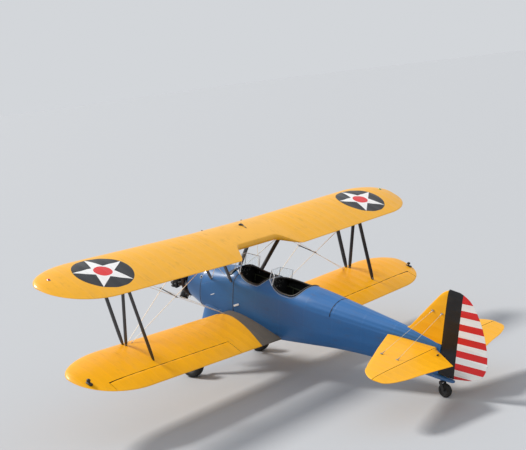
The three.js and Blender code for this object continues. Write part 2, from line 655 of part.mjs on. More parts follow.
function tailFork() {
  const { crownLow, crownHigh, arm, armThick, stem, stemTop } = FORK;
  const { trail, axle } = REAR;
  const pair = [arm, -arm - armThick].map((x) => hull([x, x + armThick].flatMap((side) => [
    v(side, -24, -14), v(side, 20, -14), v(side, 26, 10),
    v(side, -trail - 30, crownHigh), v(side, -trail + 38, crownHigh)])));
  const crown = hull([crownLow, crownHigh].flatMap((z) => [-arm - armThick, arm + armThick].flatMap((x) => [
    v(x, -trail - 30, z), v(x, -trail + 36, z)])));
  const post = rod(v(0, -trail, crownHigh - 5), v(0, -trail, stemTop), stem, 20);
  const pin = rod(v(-arm - 5, 0, 0), v(arm + 5, 0, 0), axle, 20);
  return join(...pair, crown, post, pin);
}

// Turns a solid drawn upright about the tail wheel into the level frame, or back
const tailUnit = new THREE.Matrix4().makeRotationX(PITCH).setPosition(0, REAR.y, REAR.z);

function tailStrut() {
  const { radius, low, high } = HOUSING;
  const axis = -REAR.trail;
  const tube = rod(v(0, axis, low), v(0, axis, high), radius, 20);
  const bore = rod(v(0, axis, low - 10), v(0, axis, FORK.stemTop + RUNNING / 2), FORK.stem + BORE, 20);
  const unit = toSolid(toGeometry(tube).applyMatrix4(tailUnit));
  const hole = toSolid(toGeometry(bore).applyMatrix4(tailUnit));
  const spine = hull([
    v(-24, 5120, -330), v(24, 5120, -330), v(-24, 5130, -372), v(24, 5130, -372),
    v(-22, 5645, -296), v(22, 5645, -296), v(-22, 5655, -346), v(22, 5655, -346),
  ]);
  const lug = hull([-300, RUDDER.bottom - 8].flatMap((z) => [
    v(-18, 5540, z), v(18, 5540, z), v(-14, 5624, z), v(14, 5624, z)]));
  const pin = rod(rudderAxis(RUDDER.bottom - 16), rudderAxis(RUDDER.bottom + 44), 9, 16);
  return join(spine, unit, lug, pin).subtract(hole).subtract(envelope);
}

// Struts and rigging

const onWing = (wing, x, c, skin) => {
  const base = ribPoint(ribAt(wing, x), c, 0);
  return v(x, base.y, skinsAt(wing, x, base.y)[skin]);
};

// Interplane struts: [x, chord fraction] of the foot and of the head, chord and thickness
const STRUTS = {
  front: { foot: [3220, 0.109], head: [3336, 0.12], chord: 110, thick: 36 },
  rear: { foot: [3166, 0.638], head: [3290, 0.64], chord: 96, thick: 34 },
};
// The diagonal starts behind the front foot and ends ahead of the rear head
const DIAGONAL = { chord: 91, thick: 30, behind: 50, ahead: 80 };
const SINK = 30;               // of a strut's end in what it holds, before it is trimmed
const CABANES = {
  front: { foot: [385, 190, 0], head: [880, 170] },
  rear: { foot: [405, 790, 120], head: [880, 905] },
};
const CABANE = { chord: 100, thick: 34 };

function betweenWings(solid) {
  return solid.subtract(moved(upperOuter, 0, 0, -SEAT)).subtract(moved(lowerLeft.wing, 0, 0, SEAT));
}

function interplane() {
  const foot = (which, dy = 0) => onWing(WINGS.lower, ...STRUTS[which].foot, 'top').add(v(0, dy, -SINK));
  const head = (which, dy = 0) => onWing(WINGS.upper, ...STRUTS[which].head, 'bottom').add(v(0, dy, SINK));
  const upright = (which, grow = 0) => fairedBar(
    foot(which), head(which), STRUTS[which].chord + 2 * grow, STRUTS[which].thick + 2 * grow);
  const { chord, thick, behind, ahead } = DIAGONAL;
  const diagonal = fairedBar(foot('front', behind), head('rear', -ahead), chord, thick)
    .subtract(upright('front', SEAT)).subtract(upright('rear', SEAT));
  return {
    front: betweenWings(upright('front')),
    rear: betweenWings(upright('rear')),
    diagonal: betweenWings(diagonal),
  };
}

function cabane({ foot, head: [x, y] }) {
  const top = skinsAt(WINGS.upper, x, y).bottom + SINK;
  return fairedBar(v(...foot), v(x, y, top), CABANE.chord, CABANE.thick);
}

// Landing wires hold the lower wing from the cabanes, flying wires hold the upper one from
// the fuselage: [y at the inner end, x and chord fraction at the outer end]
const WIRE = 4.5;
const WIRES = {
  landing: { innerX: 976, front: [190, 3137, 0.115], rear: [905, 3058, 0.14] },
  flying: { innerX: 410, innerZ: -604, front: [745, 3258, 0.12], rear: [852, 3258, 0.64] },
};
const WIRE_SINK = 25;

function stay(kind, which) {
  const { innerX, innerZ } = WIRES[kind];
  const [y, outerX, c] = WIRES[kind][which];
  const flying = kind === 'flying';
  const inner = v(innerX, y, flying ? innerZ : skinsAt(WINGS.upper, innerX, y).bottom + WIRE_SINK);
  const outer = onWing(flying ? WINGS.upper : WINGS.lower, outerX, c, flying ? 'bottom' : 'top')
    .add(v(0, 0, flying ? WIRE_SINK : -WIRE_SINK));
  return betweenWings(rod(inner, outer, WIRE, 8));
}

// Cockpit fittings

function floorPlate() {
  const slab = box([-500, FLOOR.front, FLOOR.z - FLOOR.thick], [500, FLOOR.back, FLOOR.z]);
  return slab.intersect(insideSpace);
}

function instrumentPanel({ front }) {
  const at = front - 26;
  return box([-500, at - 14, -60], [500, at, 600]).intersect(insideSpace);
}

function bucketSeat({ back }) {
  const rear = back - 62;
  const [half, depth, pan, top] = [205, 380, -205, 90];
  const base = box([-half, rear - depth, pan - 26], [half, rear, pan]);
  const upright = hull([pan - 26, top].flatMap((z) => [-half, half].flatMap((x) => [
    v(x, rear - 26 + (z - pan) * 0.1, z), v(x, rear + (z - pan) * 0.1, z)])));
  const cheek = [
    [rear - depth, pan - 26], [rear - depth, pan + 40], [rear - 110, pan + 70], [rear + 10, 20],
    [rear, pan - 26],
  ];
  const sides = [-1, 1].map((s) => hull(
    cheek.flatMap(([y, z]) => [half, half - 12].map((x) => v(s * x, y, z)))));
  const legs = [-1, 1].flatMap((s) => [rear - depth + 30, rear - 30].map((y) => rod(
    v(s * (half - 20), y, FLOOR.z + SEAT), v(s * (half - 20), y, pan - 20), 11, 10)));
  return join(base, upright, ...sides, ...legs);
}

// Windscreen of three flat panes that meet in mitres; middle and side are the corners of its foot
function windscreen({ middle, side, rise, lean }) {
  const glass = 6;
  const foot = [[-side[0], side[1]], [-middle[0], middle[1]], middle, side].map(([x, y]) => v(x, y, 60));
  const deck = bodyAt(middle[1])[2];
  const corners = foot.map((p, i) => {
    const way = foot[Math.min(i + 1, 3)].clone().sub(foot[Math.max(i - 1, 0)]).normalize();
    const out = v(way.y, -way.x, 0).multiplyScalar(glass);
    const top = v(p.x * 0.9, p.y + lean, deck + rise - (i % 3 === 0 ? 28 : 0));
    return [p, top, p.clone().add(out), top.clone().add(out)];
  });
  const panes = [0, 1, 2].map((i) => hull([...corners[i], ...corners[i + 1]]));
  return join(...panes).subtract(envelope);
}

const WINDSCREENS = {
  front: { middle: [150, 590], side: [292, 860], rise: 290, lean: 60 },
  rear: { middle: [140, 1535], side: [300, 1745], rise: 215, lean: 80 },
};

function coamingRoll(cockpit) {
  const sides = 6;
  const plan = openingPlan(cockpit, 2);
  const spots = plan.map((p) => v(p.x, p.y, deckHeight(p.x, p.y) - 6));
  const rings = Array.from({ length: plan.length + 1 }, (_, i) => {
    const [last, here, next] = [-1, 0, 1].map((d) => spots[(i + d + plan.length) % plan.length]);
    const way = next.clone().sub(last).normalize();
    const out = way.clone().cross(v(0, 0, 1)).normalize();
    const up = out.clone().cross(way);
    return Array.from({ length: sides }, (_, j) => {
      const roll = (2 * Math.PI * (j + 0.5)) / sides;
      const across = out.clone().multiplyScalar(COAMING * Math.cos(roll));
      return here.clone().add(across).addScaledVector(up, COAMING * Math.sin(roll));
    });
  });
  return mainBody(loop(rings).subtract(cabinShell(SEAT)));
}

// Assembly

const upperOuter = outerPanel(WINGS.upper, CENTRE_HALF);
const centre = centreSection();
const lowerLeft = lowerWingAndAileron();
const struts = interplane();
const tail = tailplaneAndElevator();
const { fin, rudder, cove } = finAndRudder();

function tailCone() {
  const hole = rod(tailAxis(-400), tailAxis(400), TAIL.tube + BORE, 20);
  return bodyLoft(SPLIT + SEAT, TAIL_END, 0).subtract(hole).subtract(cove);
}

function finish(color, roughness, metalness = 0) {
  return new THREE.MeshStandardMaterial({ color, roughness, metalness });
}

const LOOKS = {
  yellow: finish(0xf2b01c, 0.42),
  blue: finish(0x2f6fae, 0.4),
  black: finish(0x1a1b1d, 0.5),
  steel: finish(0x9a9da1, 0.35, 1),
  engine: finish(0x232427, 0.55, 0.6),
  exhaust: finish(0x8d8781, 0.4, 1),
  blade: finish(0xb9bcc0, 0.25, 1),
  rubber: finish(0x17181a, 0.8),
  grey: finish(0xb9bdc1, 0.45),
  interior: finish(0x2b2d2c, 0.7),
  leather: finish(0x2a2421, 0.6),
  glass: finish(0xcfdfe4, 0.08),
};

LOOKS.glass.transparent = true;
LOOKS.glass.opacity = 0.3;

const plane = new THREE.Group();

function piece(name, solid, look, parent = plane) {
  const mesh = new THREE.Mesh(solid instanceof THREE.BufferGeometry ? solid : toGeometry(solid), LOOKS[look]);
  mesh.name = name;
  parent.add(mesh);
  return mesh;
}

// The port piece and its mirror image, each trimmed by what it is set against
function pieces(name, solid, look, ...neighbours) {
  const trimmed = (whole) => neighbours.reduce((rest, other) => rest.subtract(other), whole);
  piece(`${name}_left`, trimmed(solid), look);
  piece(`${name}_right`, trimmed(mirrored(solid)), look);
}

piece('fuselage_front', cabinShell(0), 'blue');
piece('fuselage_rear', tailCone(), 'blue');
piece('accessory_cowl', accessoryCowl(), 'blue');
piece('engine', engine(), 'engine');
piece('exhaust_collector', exhaust(), 'exhaust');
piece('upper_wing_center', centre, 'yellow');
pieces('upper_wing', upperOuter, 'yellow');
pieces('lower_wing', lowerLeft.wing, 'yellow', envelope);
pieces('aileron', lowerLeft.flap, 'yellow');
for (const [which, solid] of Object.entries(struts)) {
  pieces(`strut_${which}`, solid, 'black');
}
for (const [which, place] of Object.entries(CABANES)) {
  pieces(`cabane_${which}`, cabane(place), 'black', envelope, moved(centre, 0, 0, -SEAT));
}
for (const kind of Object.keys(WIRES)) {
  for (const which of ['front', 'rear']) {
    pieces(`${kind}_wire_${which}`, stay(kind, which), 'steel', envelope);
  }
}
pieces('stabilizer', tail.plane, 'yellow', envelope);
pieces('elevator', tail.elevator, 'yellow');
piece('fin', fin, 'yellow');
piece('rudder', rudder, 'yellow');
pieces('gear_leg', mainLeg(), 'blue', envelope);
piece('tailwheel_strut', tailStrut(), 'steel');
piece('cockpit_floor', floorPlate(), 'interior');
for (const [which, cockpit] of Object.entries(COCKPITS)) {
  piece(`panel_${which}`, instrumentPanel(cockpit), 'interior');
  piece(`seat_${which}`, bucketSeat(cockpit), 'interior');
  piece(`coaming_${which}`, coamingRoll(cockpit), 'leather');
  piece(`windscreen_${which}`, windscreen(WINDSCREENS[which]), 'glass');
}
piece('propeller_hub', propellerHub(), 'steel');
for (const [name, turn] of [['propeller_blade_1', 0], ['propeller_blade_2', 180]]) {
  const upright = toGeometry(blade()).translate(0, 0, -THRUST);
  piece(name, upright.rotateY(rad(PROP.rest + turn)).translate(0, 0, THRUST), 'blade');
}

// Wheels stand upright in the parked attitude, so a flat of each tyre meets the floor
for (const [name, sign] of [['left', 1], ['right', -1]]) {
  const wheel = new THREE.Group();
  wheel.position.set(sign * MAIN.x, MAIN.y, MAIN.z);
  wheel.rotation.x = PITCH;
  plane.add(wheel);
  const rim = disc(MAIN.rim, 128, MAIN.axle + BORE, 22, TYRE_SIDES);
  piece(`tyre_${name}`, tyre(MAIN.tyre, MAIN.rim, MAIN.width, TYRE_SIDES), 'rubber', wheel);
  piece(`wheel_${name}`, sign > 0 ? rim : mirrored(rim), 'grey', wheel);
}
const tailWheel = new THREE.Group();
tailWheel.applyMatrix4(tailUnit);
plane.add(tailWheel);
piece('tailwheel_fork', tailFork(), 'steel', tailWheel);
piece('tailwheel_tyre', tyre(REAR.tyre, REAR.rim, REAR.width, REAR_SIDES), 'rubber', tailWheel);
piece('tailwheel_rim', disc(REAR.rim, 60, REAR.axle + BORE, 3, REAR_SIDES), 'grey', tailWheel);

plane.rotation.x = -PITCH;
const biplane = new THREE.Group();
biplane.add(plane);

// The floor under the tyres is z = 0, and the middle of the whole is over the origin
biplane.updateMatrixWorld(true);
const bounds = new THREE.Box3().setFromObject(biplane, true);
const middle = bounds.getCenter(v());
plane.position.set(-middle.x, -middle.y, -bounds.min.z);

export default biplane;
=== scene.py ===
import math

import bmesh
import bpy
import numpy as np
from bpy.props import FloatProperty, FloatVectorProperty, PointerProperty
from mathutils import Euler, Matrix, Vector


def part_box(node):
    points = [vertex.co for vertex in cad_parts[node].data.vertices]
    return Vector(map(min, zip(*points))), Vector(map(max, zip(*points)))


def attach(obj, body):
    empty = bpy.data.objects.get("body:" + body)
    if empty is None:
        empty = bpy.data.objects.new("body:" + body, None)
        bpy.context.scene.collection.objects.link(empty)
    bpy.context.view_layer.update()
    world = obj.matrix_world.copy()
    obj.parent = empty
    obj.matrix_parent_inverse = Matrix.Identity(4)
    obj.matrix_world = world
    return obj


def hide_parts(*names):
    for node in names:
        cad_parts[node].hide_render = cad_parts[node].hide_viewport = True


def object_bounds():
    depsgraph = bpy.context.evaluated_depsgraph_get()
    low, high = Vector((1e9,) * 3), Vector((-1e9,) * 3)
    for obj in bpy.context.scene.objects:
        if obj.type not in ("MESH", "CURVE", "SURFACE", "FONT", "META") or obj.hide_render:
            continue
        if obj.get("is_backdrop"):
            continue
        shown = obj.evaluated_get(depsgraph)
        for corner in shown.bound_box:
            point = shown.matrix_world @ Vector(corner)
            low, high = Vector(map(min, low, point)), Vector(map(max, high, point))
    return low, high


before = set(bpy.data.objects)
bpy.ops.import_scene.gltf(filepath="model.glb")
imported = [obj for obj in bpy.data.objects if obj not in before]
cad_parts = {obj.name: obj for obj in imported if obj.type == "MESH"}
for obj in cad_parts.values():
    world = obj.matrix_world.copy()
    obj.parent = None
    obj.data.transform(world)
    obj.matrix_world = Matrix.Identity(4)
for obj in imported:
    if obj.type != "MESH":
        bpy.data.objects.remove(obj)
CAD_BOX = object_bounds()

bl_info = {
    "name": "Open-cockpit biplane",
    "version": (1, 0, 0),
    "blender": (4, 5, 0),
    "location": "3D View > Sidebar > Biplane",
    "description": "Fabric, paint, engine, rigging and cockpits of a two-seat biplane",
    "category": "Object",
}

SIDES = {"left": 1, "right": -1}
AFT = np.array([0.0, 1.0, 0.0])
UP = np.array([0.0, 0.0, 1.0])
PIPE_UP = (0.31, 0.23, 0.92)   # along no pipe

# Wings
CHORD = 1.5245
TIP = 1.063                    # length of the rounded tip
TIP_WIDEST = 0.4
THICKNESS = 0.13
CAMBER = 0.022
CAMBER_AT = 0.4
EDGE = 0.0015
UPPER = dict(y=0.0, z=1.0, incidence=4.26, dihedral=1.322, bend=0.906, half=4.9025, coat=0.4)
LOWER = dict(y=0.669, z=-0.5837, incidence=3.2, dihedral=1.763, bend=0.0, half=4.741, coat=0.15)
CENTRE_HALF = UPPER["bend"]
CUTOUT_FLAT = 0.5
CUTOUT_CHORD = 0.71
AILERON = dict(hinge=0.75, inner=1.46, outer=4.27, gap=0.009, cove=0.006)
HINGE_Y = LOWER["y"] + CHORD * AILERON["hinge"] * math.cos(math.radians(LOWER["incidence"]))
HINGE_FROM = (AILERON["inner"], 3.6)     # the hinge line runs through the section's middle here
LOWER_ROOT = 0.36              # inside the fuselage skin
UPPER_FIRST_RIB = 0.906
LOWER_FIRST_RIB = 0.48
# Across, along, radius, and 1 for the top or -1 for the underside
UPPER_ROUNDEL = (3.623, 0.773, 0.556, 1)
LOWER_ROUNDEL = (3.45, 1.345, 0.46, -1)
SPLIT_CHORD = 0.8              # where a plain section's front part ends
FRONT_COLUMNS = 30             # points of a section on each skin, ahead of the split
AFT_COLUMNS = 12               # and behind it

# Fuselage stations: y, half width, top, bottom, waist height, upper power, lower power
STATIONS = np.array([
    [-0.095, 0.425, 0.165, -0.775, -0.280, 2.1, 2.9],
    [0.220, 0.428, 0.225, -0.792, -0.120, 2.2, 3.1],
    [0.600, 0.430, 0.300, -0.800, 0.030, 2.4, 3.3],
    [0.800, 0.431, 0.345, -0.800, 0.070, 2.5, 3.4],
    [1.000, 0.432, 0.318, -0.802, 0.100, 2.1, 3.6],
    [1.500, 0.432, 0.340, -0.812, 0.120, 2.0, 3.8],
    [1.850, 0.432, 0.380, -0.816, 0.130, 2.0, 3.8],
    [2.250, 0.432, 0.430, -0.742, 0.140, 2.0, 3.8],
    [2.750, 0.412, 0.450, -0.640, 0.150, 2.0, 3.6],
    [3.460, 0.335, 0.434, -0.505, 0.160, 2.0, 3.4],
    [4.200, 0.238, 0.413, -0.418, 0.165, 2.0, 3.0],
    [4.750, 0.163, 0.395, -0.384, 0.170, 2.0, 2.8],
    [5.300, 0.078, 0.352, -0.348, 0.170, 2.0, 2.6],
    [5.573, 0.038, 0.330, -0.332, 0.170, 2.0, 2.6],
])
NOSE_END = STATIONS[0, 0]
METAL_END = 0.87               # sheet panels ahead, fabric behind
SPLIT = 2.75
TAIL_END = STATIONS[-1, 0]
# Openings: round ahead of their widest place and nearly square behind it
COCKPITS = {
    "front": dict(front=0.7, widest=1.39, back=1.525, half=0.35),
    "rear": dict(front=1.64, widest=2.2, back=2.51, half=0.372),
}
OPENING_POWERS = (2.0, 4.0)
FLOOR_Z = -0.47
STRINGER_TURN = math.radians(20)
STRINGER_SAG = 0.0045
SIDE_LEAN = 0.5                # of the small plates on the fuselage sides
STRIP_TURNS = np.radians([12, 168, -38, 218])
PANEL_FRAME_X = 0.36

# Power plant
THRUST = -0.27
COWL_FRONT = -0.49
COWL_RADIUS = 0.43
ENGINE = dict(plane=-0.8, cylinders=7, case=0.235, back=-0.4904, nose=-0.985, shaft=0.035)
PROP = dict(front=-1.118, back=-1.005, hub=0.084, plane=-1.052, socket=0.052, root=0.168, rest=50.0)
EXHAUST = dict(ring=0.402, tube=0.036, y=-0.655, bend=(-0.165, -0.42, -0.8), outlet=(-0.178, -0.12, -0.905))

# Tail
ELEVATOR_HINGE = (5.51, 0.198)
RUDDER = dict(y=5.606, lean=0.0126, bottom=-0.25)
# Span, leading edge, trailing edge, half thickness
TAILPLANE = np.array([
    [0.0, 4.474, 6.180, 0.033], [0.4, 4.638, 6.088, 0.033], [0.788, 4.797, 5.999, 0.033],
    [1.1, 4.937, 5.935, 0.032], [1.378, 5.060, 5.891, 0.031], [1.54, 5.142, 5.848, 0.029],
    [1.676, 5.217, 5.800, 0.026], [1.776, 5.327, 5.742, 0.021], [1.828, 5.420, 5.680, 0.015],
    [1.846, 5.490, 5.560, 0.008],
])
# Height, leading edge, trailing edge, half thickness; below the deck there is only a rudder
FIN = np.array([
    [-0.25, 5.606, 5.880, 0.030], [-0.205, 5.606, 6.060, 0.031], [-0.164, 5.606, 6.201, 0.032],
    [-0.118, 5.606, 6.303, 0.033], [-0.046, 5.606, 6.400, 0.033], [0.017, 5.606, 6.452, 0.033],
    [0.146, 5.606, 6.495, 0.033], [0.25, 4.758, 6.492, 0.033], [0.459, 4.910, 6.462, 0.033],
    [0.771, 5.135, 6.355, 0.033], [0.938, 5.255, 6.273, 0.032], [1.088, 5.367, 6.179, 0.030],
    [1.190, 5.443, 6.095, 0.027], [1.260, 5.512, 6.010, 0.023], [1.310, 5.590, 5.905, 0.017],
    [1.336, 5.660, 5.820, 0.010],
])
TAIL_EDGE = 0.004
TAIL_GAP = 0.006
FORE_COLUMNS = 26              # points on each side of a fin or stabilizer, and in its hollow
HOLLOW_COLUMNS = 9
ELEVATOR_ROOT = 0.06
ELEVATOR_NOTCH = (0.4, 6.088)  # where the slanting inner edge meets the trailing edge
TAB_MARK = (0.28, 5.69)
STRIPE_TILT = 0.1
STRIPE_AFT = 6.4               # the stripes are at their own heights here

# Undercarriage
MAIN_WHEEL = np.array([0.98, 0.3, -1.645])
TAIL_WHEEL = np.array([0.0, 5.741, -0.515])
MAIN = dict(tyre=0.305, width=0.196, rim=0.172, leg=0.782)
REAR = dict(tyre=0.127, width=0.088, rim=0.066, trail=0.043)

# Struts and wires
# Span and chord fraction of each end, chord and thickness
STRUTS = {
    "front": dict(foot=(3.22, 0.109), head=(3.336, 0.12), size=(0.11, 0.036)),
    "rear": dict(foot=(3.166, 0.638), head=(3.29, 0.64), size=(0.096, 0.034)),
}
DIAGONAL = dict(size=(0.091, 0.03), behind=0.095, ahead=0.08)
CABANES = {
    "front": dict(foot=(0.385, 0.19, 0.0), head=(0.88, 0.17)),
    "rear": dict(foot=(0.405, 0.79, 0.12), head=(0.88, 0.905)),
}
CABANE = (0.1, 0.034)
WIRES = {
    "landing": dict(inner=0.976, front=(0.19, 3.137, 0.115), rear=(0.905, 3.058, 0.14)),
    "flying": dict(inner=0.41, z=-0.604, front=(0.745, 3.258, 0.12), rear=(0.852, 3.258, 0.64)),
}

# The photograph's camera in the level frame: place, azimuth, elevation and roll in degrees
CAMERA = dict(place=(14.3248, 14.5585, 7.6823), azimuth=132.9924, elevation=17.9052, roll=2.7523)
FOCAL = 1042.2558              # pixels, on a picture this wide
PICTURE_WIDTH = 526
SENSOR = 36.0
FLOOR_REACH = 400.0

# From the level frame to the parked one

def middle_of(node):
    """Centre of a CAD node's box."""
    low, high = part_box(node)
    return np.array((low + high) / 2)


PARKED_MAIN = middle_of("tyre_left")
PARKED_TAIL = middle_of("tailwheel_tyre")


def slope(start, end):
    """Angle of a line in the middle plane: atan2(rise, run aft)."""
    return math.atan2(end[2] - start[2], end[1] - start[1])


PITCH = slope(MAIN_WHEEL, TAIL_WHEEL) - slope(PARKED_MAIN, PARKED_TAIL)
TURN = np.array(Matrix.Rotation(-PITCH, 3, "X"))
SHIFT = PARKED_MAIN - TURN @ MAIN_WHEEL


def parked(points):
    """Points of the level frame, turned nose up and set on the floor."""
    return np.asarray(points, float) @ TURN.T + SHIFT


# Surfaces as arrays of points and lists of faces

class Shape:
    """Points, and arrays of faces with the same number of corners in each."""

    def __init__(self, points, *faces):
        self.points = np.asarray(points, float).reshape(-1, 3)
        self.faces = [np.asarray(f, int) for f in faces if len(f)]

    def __add__(self, other):
        return Shape(
            np.vstack([self.points, other.points]),
            *self.faces, *[f + len(self.points) for f in other.faces])

    def outward(self):
        """The same surface with its faces turned so that the volume inside is positive."""
        volume = 0.0
        for f in self.faces:
            first = self.points[f[:, 0]]
            for k in range(1, f.shape[1] - 1):
                others = np.cross(self.points[f[:, k]], self.points[f[:, k + 1]])
                volume += np.einsum("ij,ij->", first, others)
        return self if volume > 0 else Shape(self.points, *[f[:, ::-1] for f in self.faces])

    def mirrored(self):
        """The surface on the other side of the middle plane."""
        return Shape(self.points * [-1, 1, 1], *[f[:, ::-1] for f in self.faces])

    def on(self, side):
        return self if side > 0 else self.mirrored()

    def parked(self):
        return Shape(parked(self.points), *self.faces)


def total(shapes):
    """Several surfaces as one."""
    shapes = list(shapes)
    starts = np.cumsum([0] + [len(s.points) for s in shapes])
    return Shape(
        np.vstack([s.points for s in shapes]),
        *[f + start for s, start in zip(shapes, starts) for f in s.faces])


def grid(points, wrap_rows=False, wrap_columns=False, caps=False):
    """A surface over rows and columns of points, with the first and last row closed by caps."""
    rows, columns = points.shape[:2]
    i, j = np.meshgrid(
        np.arange(rows if wrap_rows else rows - 1),
        np.arange(columns if wrap_columns else columns - 1), indexing="ij")
    i2, j2 = (i + 1) % rows, (j + 1) % columns
    faces = np.stack([i * columns + j, i2 * columns + j, i2 * columns + j2, i * columns + j2], -1)
    ends = []
    if caps:
        first = np.arange(columns)
        ends = [first[None, :], (first + (rows - 1) * columns)[None, ::-1]]
    return Shape(points, faces.reshape(-1, 4), *ends)


def lofted(rings):
    """A closed surface over rings of points, with both ends capped."""
    return grid(rings, wrap_columns=True, caps=True).outward()


def parted(whole, columns, start, stop, first=0, last=None):
    """The faces of a grid between two of its columns, and of its rows, and all its other faces."""
    place = np.arange(len(whole.faces[0]))
    row, column = place // columns, place % columns
    there = (column >= start) & (column < stop) & (row >= first)
    if last is not None:
        there &= row < last
    return (Shape(whole.points, whole.faces[0][there]),
            Shape(whole.points, whole.faces[0][~there], *whole.faces[1:]))


def unit(vectors):
    """Vectors divided by their lengths."""
    return vectors / np.linalg.norm(vectors, axis=-1, keepdims=True)


def bent(value, power):
    """The size of a number raised to a power, with the number's sign."""
    return np.sign(value) * np.abs(value) ** power


def joined(x, y, z):
    """Points from three coordinates that broadcast together."""
    return np.stack(np.broadcast_arrays(x, y, z), -1)


def round_turns(count):
    """Even angles round a circle."""
    return 2 * np.pi * np.arange(count) / count


def oval(count, width=1.0, height=1.0, power=2.0, start=0.0):
    """Points round a superellipse: |x / width|^power + |y / height|^power = 1."""
    turn = start + round_turns(count)
    return np.stack([width * bent(np.cos(turn), 2 / power), height * bent(np.sin(turn), 2 / power)], -1)


def swept(path, profile, up=(0, 0, 1), closed=False, sizes=None):
    """A profile carried along a path: its x across the path and its y towards up."""
    path = np.asarray(path, float)
    profile = np.broadcast_to(profile, (len(path), *np.shape(profile)[-2:]))
    if sizes is not None:
        profile = profile * np.reshape(sizes, (len(path), -1, 1 if np.ndim(sizes) < 2 else 2))
    if closed:
        way = unit(np.roll(path, -1, 0) - np.roll(path, 1, 0))
    else:
        way = unit(np.gradient(path, axis=0))
    side = unit(np.cross(way, np.broadcast_to(up, way.shape)))
    top = np.cross(side, way)
    points = path[:, None] + profile[..., :1] * side[:, None] + profile[..., 1:] * top[:, None]
    return grid(points, wrap_rows=closed, wrap_columns=True, caps=not closed).outward()


def pipe(points, radius, sides=10, count=None):
    """A round tube along a smooth curve through a few points, or straight between them."""
    points = np.asarray(points, float)
    path = points if count is None else curve(points, np.linspace(0, len(points) - 1, count))
    return swept(path, oval(sides, radius, radius), up=PIPE_UP)


def curve(values, at, knots=None):
    """A Catmull-Rom curve through rows of values, read at places along their knots."""
    values = np.asarray(values, float)
    knots = np.arange(len(values), dtype=float) if knots is None else knots
    at = np.clip(at, knots[0], knots[-1])
    slopes = np.gradient(values, knots, axis=0)
    i = np.clip(np.searchsorted(knots, at, side="right") - 1, 0, len(knots) - 2)
    span = knots[i + 1] - knots[i]
    t = ((at - knots[i]) / span)[..., None]
    span = span[..., None]
    return (
        (2 * t**3 - 3 * t**2 + 1) * values[i] + (t**3 - 2 * t**2 + t) * span * slopes[i]
        + (3 * t**2 - 2 * t**3) * values[i + 1] + (t**3 - t**2) * span * slopes[i + 1])


def frame_along(axis):
    """Two directions square to an axis, and the axis."""
    axis = unit(np.asarray(axis, float))
    other = np.array([0.0, 0.0, 1.0]) if abs(axis[2]) < 0.9 else np.array([0.0, 1.0, 0.0])
    side = unit(np.cross(axis, other))
    return side, np.cross(side, axis), axis


def spokes(angle):
    """Outward and sideways directions at an angle round the thrust line, from straight up."""
    return np.array([math.sin(angle), 0, math.cos(angle)]), np.array([math.cos(angle), 0, -math.sin(angle)])


def turned(profile, base, axis, sides=32, closed=False):
    """A profile of [distance along the axis, radius] turned about it; a closed one makes a ring."""
    side, top, axis = frame_along(axis)
    profile = np.asarray(profile, float)[:, None]
    turn = round_turns(sides)[:, None]
    points = np.asarray(base, float) + profile[..., :1] * axis + profile[..., 1:] * (
        np.cos(turn) * side + np.sin(turn) * top)
    caps = bool(profile[0, 0, 1] > 0) and not closed
    return grid(points, wrap_rows=closed, wrap_columns=True, caps=caps).outward()


def cylinder(base, axis, radius, length, sides=24):
    """A plain round bar from its base, with flat ends."""
    return turned([(0, 0), (0, radius), (length, radius), (length, 0)], base, axis, sides)


def block(centre, half, axes=None, power=5.0, count=6):
    """A box with rounded edges: a superellipsoid of two angles."""
    rise = np.linspace(-np.pi / 2, np.pi / 2, 2 * count + 1)[:, None]
    turn = (2 * np.pi * (np.arange(4 * count) + 0.5) / (4 * count))[None, :]
    flat = bent(np.cos(rise), 2 / power)
    local = joined(
        flat * bent(np.cos(turn), 2 / power), flat * bent(np.sin(turn), 2 / power),
        bent(np.sin(rise), 2 / power)) * half
    axes = np.eye(3) if axes is None else np.asarray(axes, float)
    return grid(local @ axes + np.asarray(centre, float), wrap_columns=True).outward()


def copies(shape, places, axes=None):
    """The same small surface at many places; axes are the rows of its directions there."""
    places = np.asarray(places, float).reshape(-1, 3)
    axes = np.broadcast_to(np.eye(3) if axes is None else axes, (len(places), 3, 3))
    points = np.einsum("pi,kij->kpj", shape.points, axes) + places[:, None]
    shifts = len(shape.points) * np.arange(len(places))
    return Shape(points, *[(f[None] + shifts[:, None, None]).reshape(-1, f.shape[1]) for f in shape.faces])


def dome(radius, height, sides=8):
    """A small round head standing on the plane of its first two directions."""
    turn = round_turns(sides)
    rings = np.stack([
        np.stack([r * np.cos(turn), r * np.sin(turn), np.full(sides, h)], -1)
        for r, h in [(radius, -height), (radius, 0.3 * height), (0.6 * radius, height)]])
    return lofted(rings)


def facing(normals, along):
    """Directions for copies: the third row is the normal, the first runs near along."""
    normals = unit(np.asarray(normals, float))
    first = np.broadcast_to(along, normals.shape)
    second = unit(np.cross(normals, first))
    return np.stack([np.cross(second, normals), second, normals], -2)


# Pieces

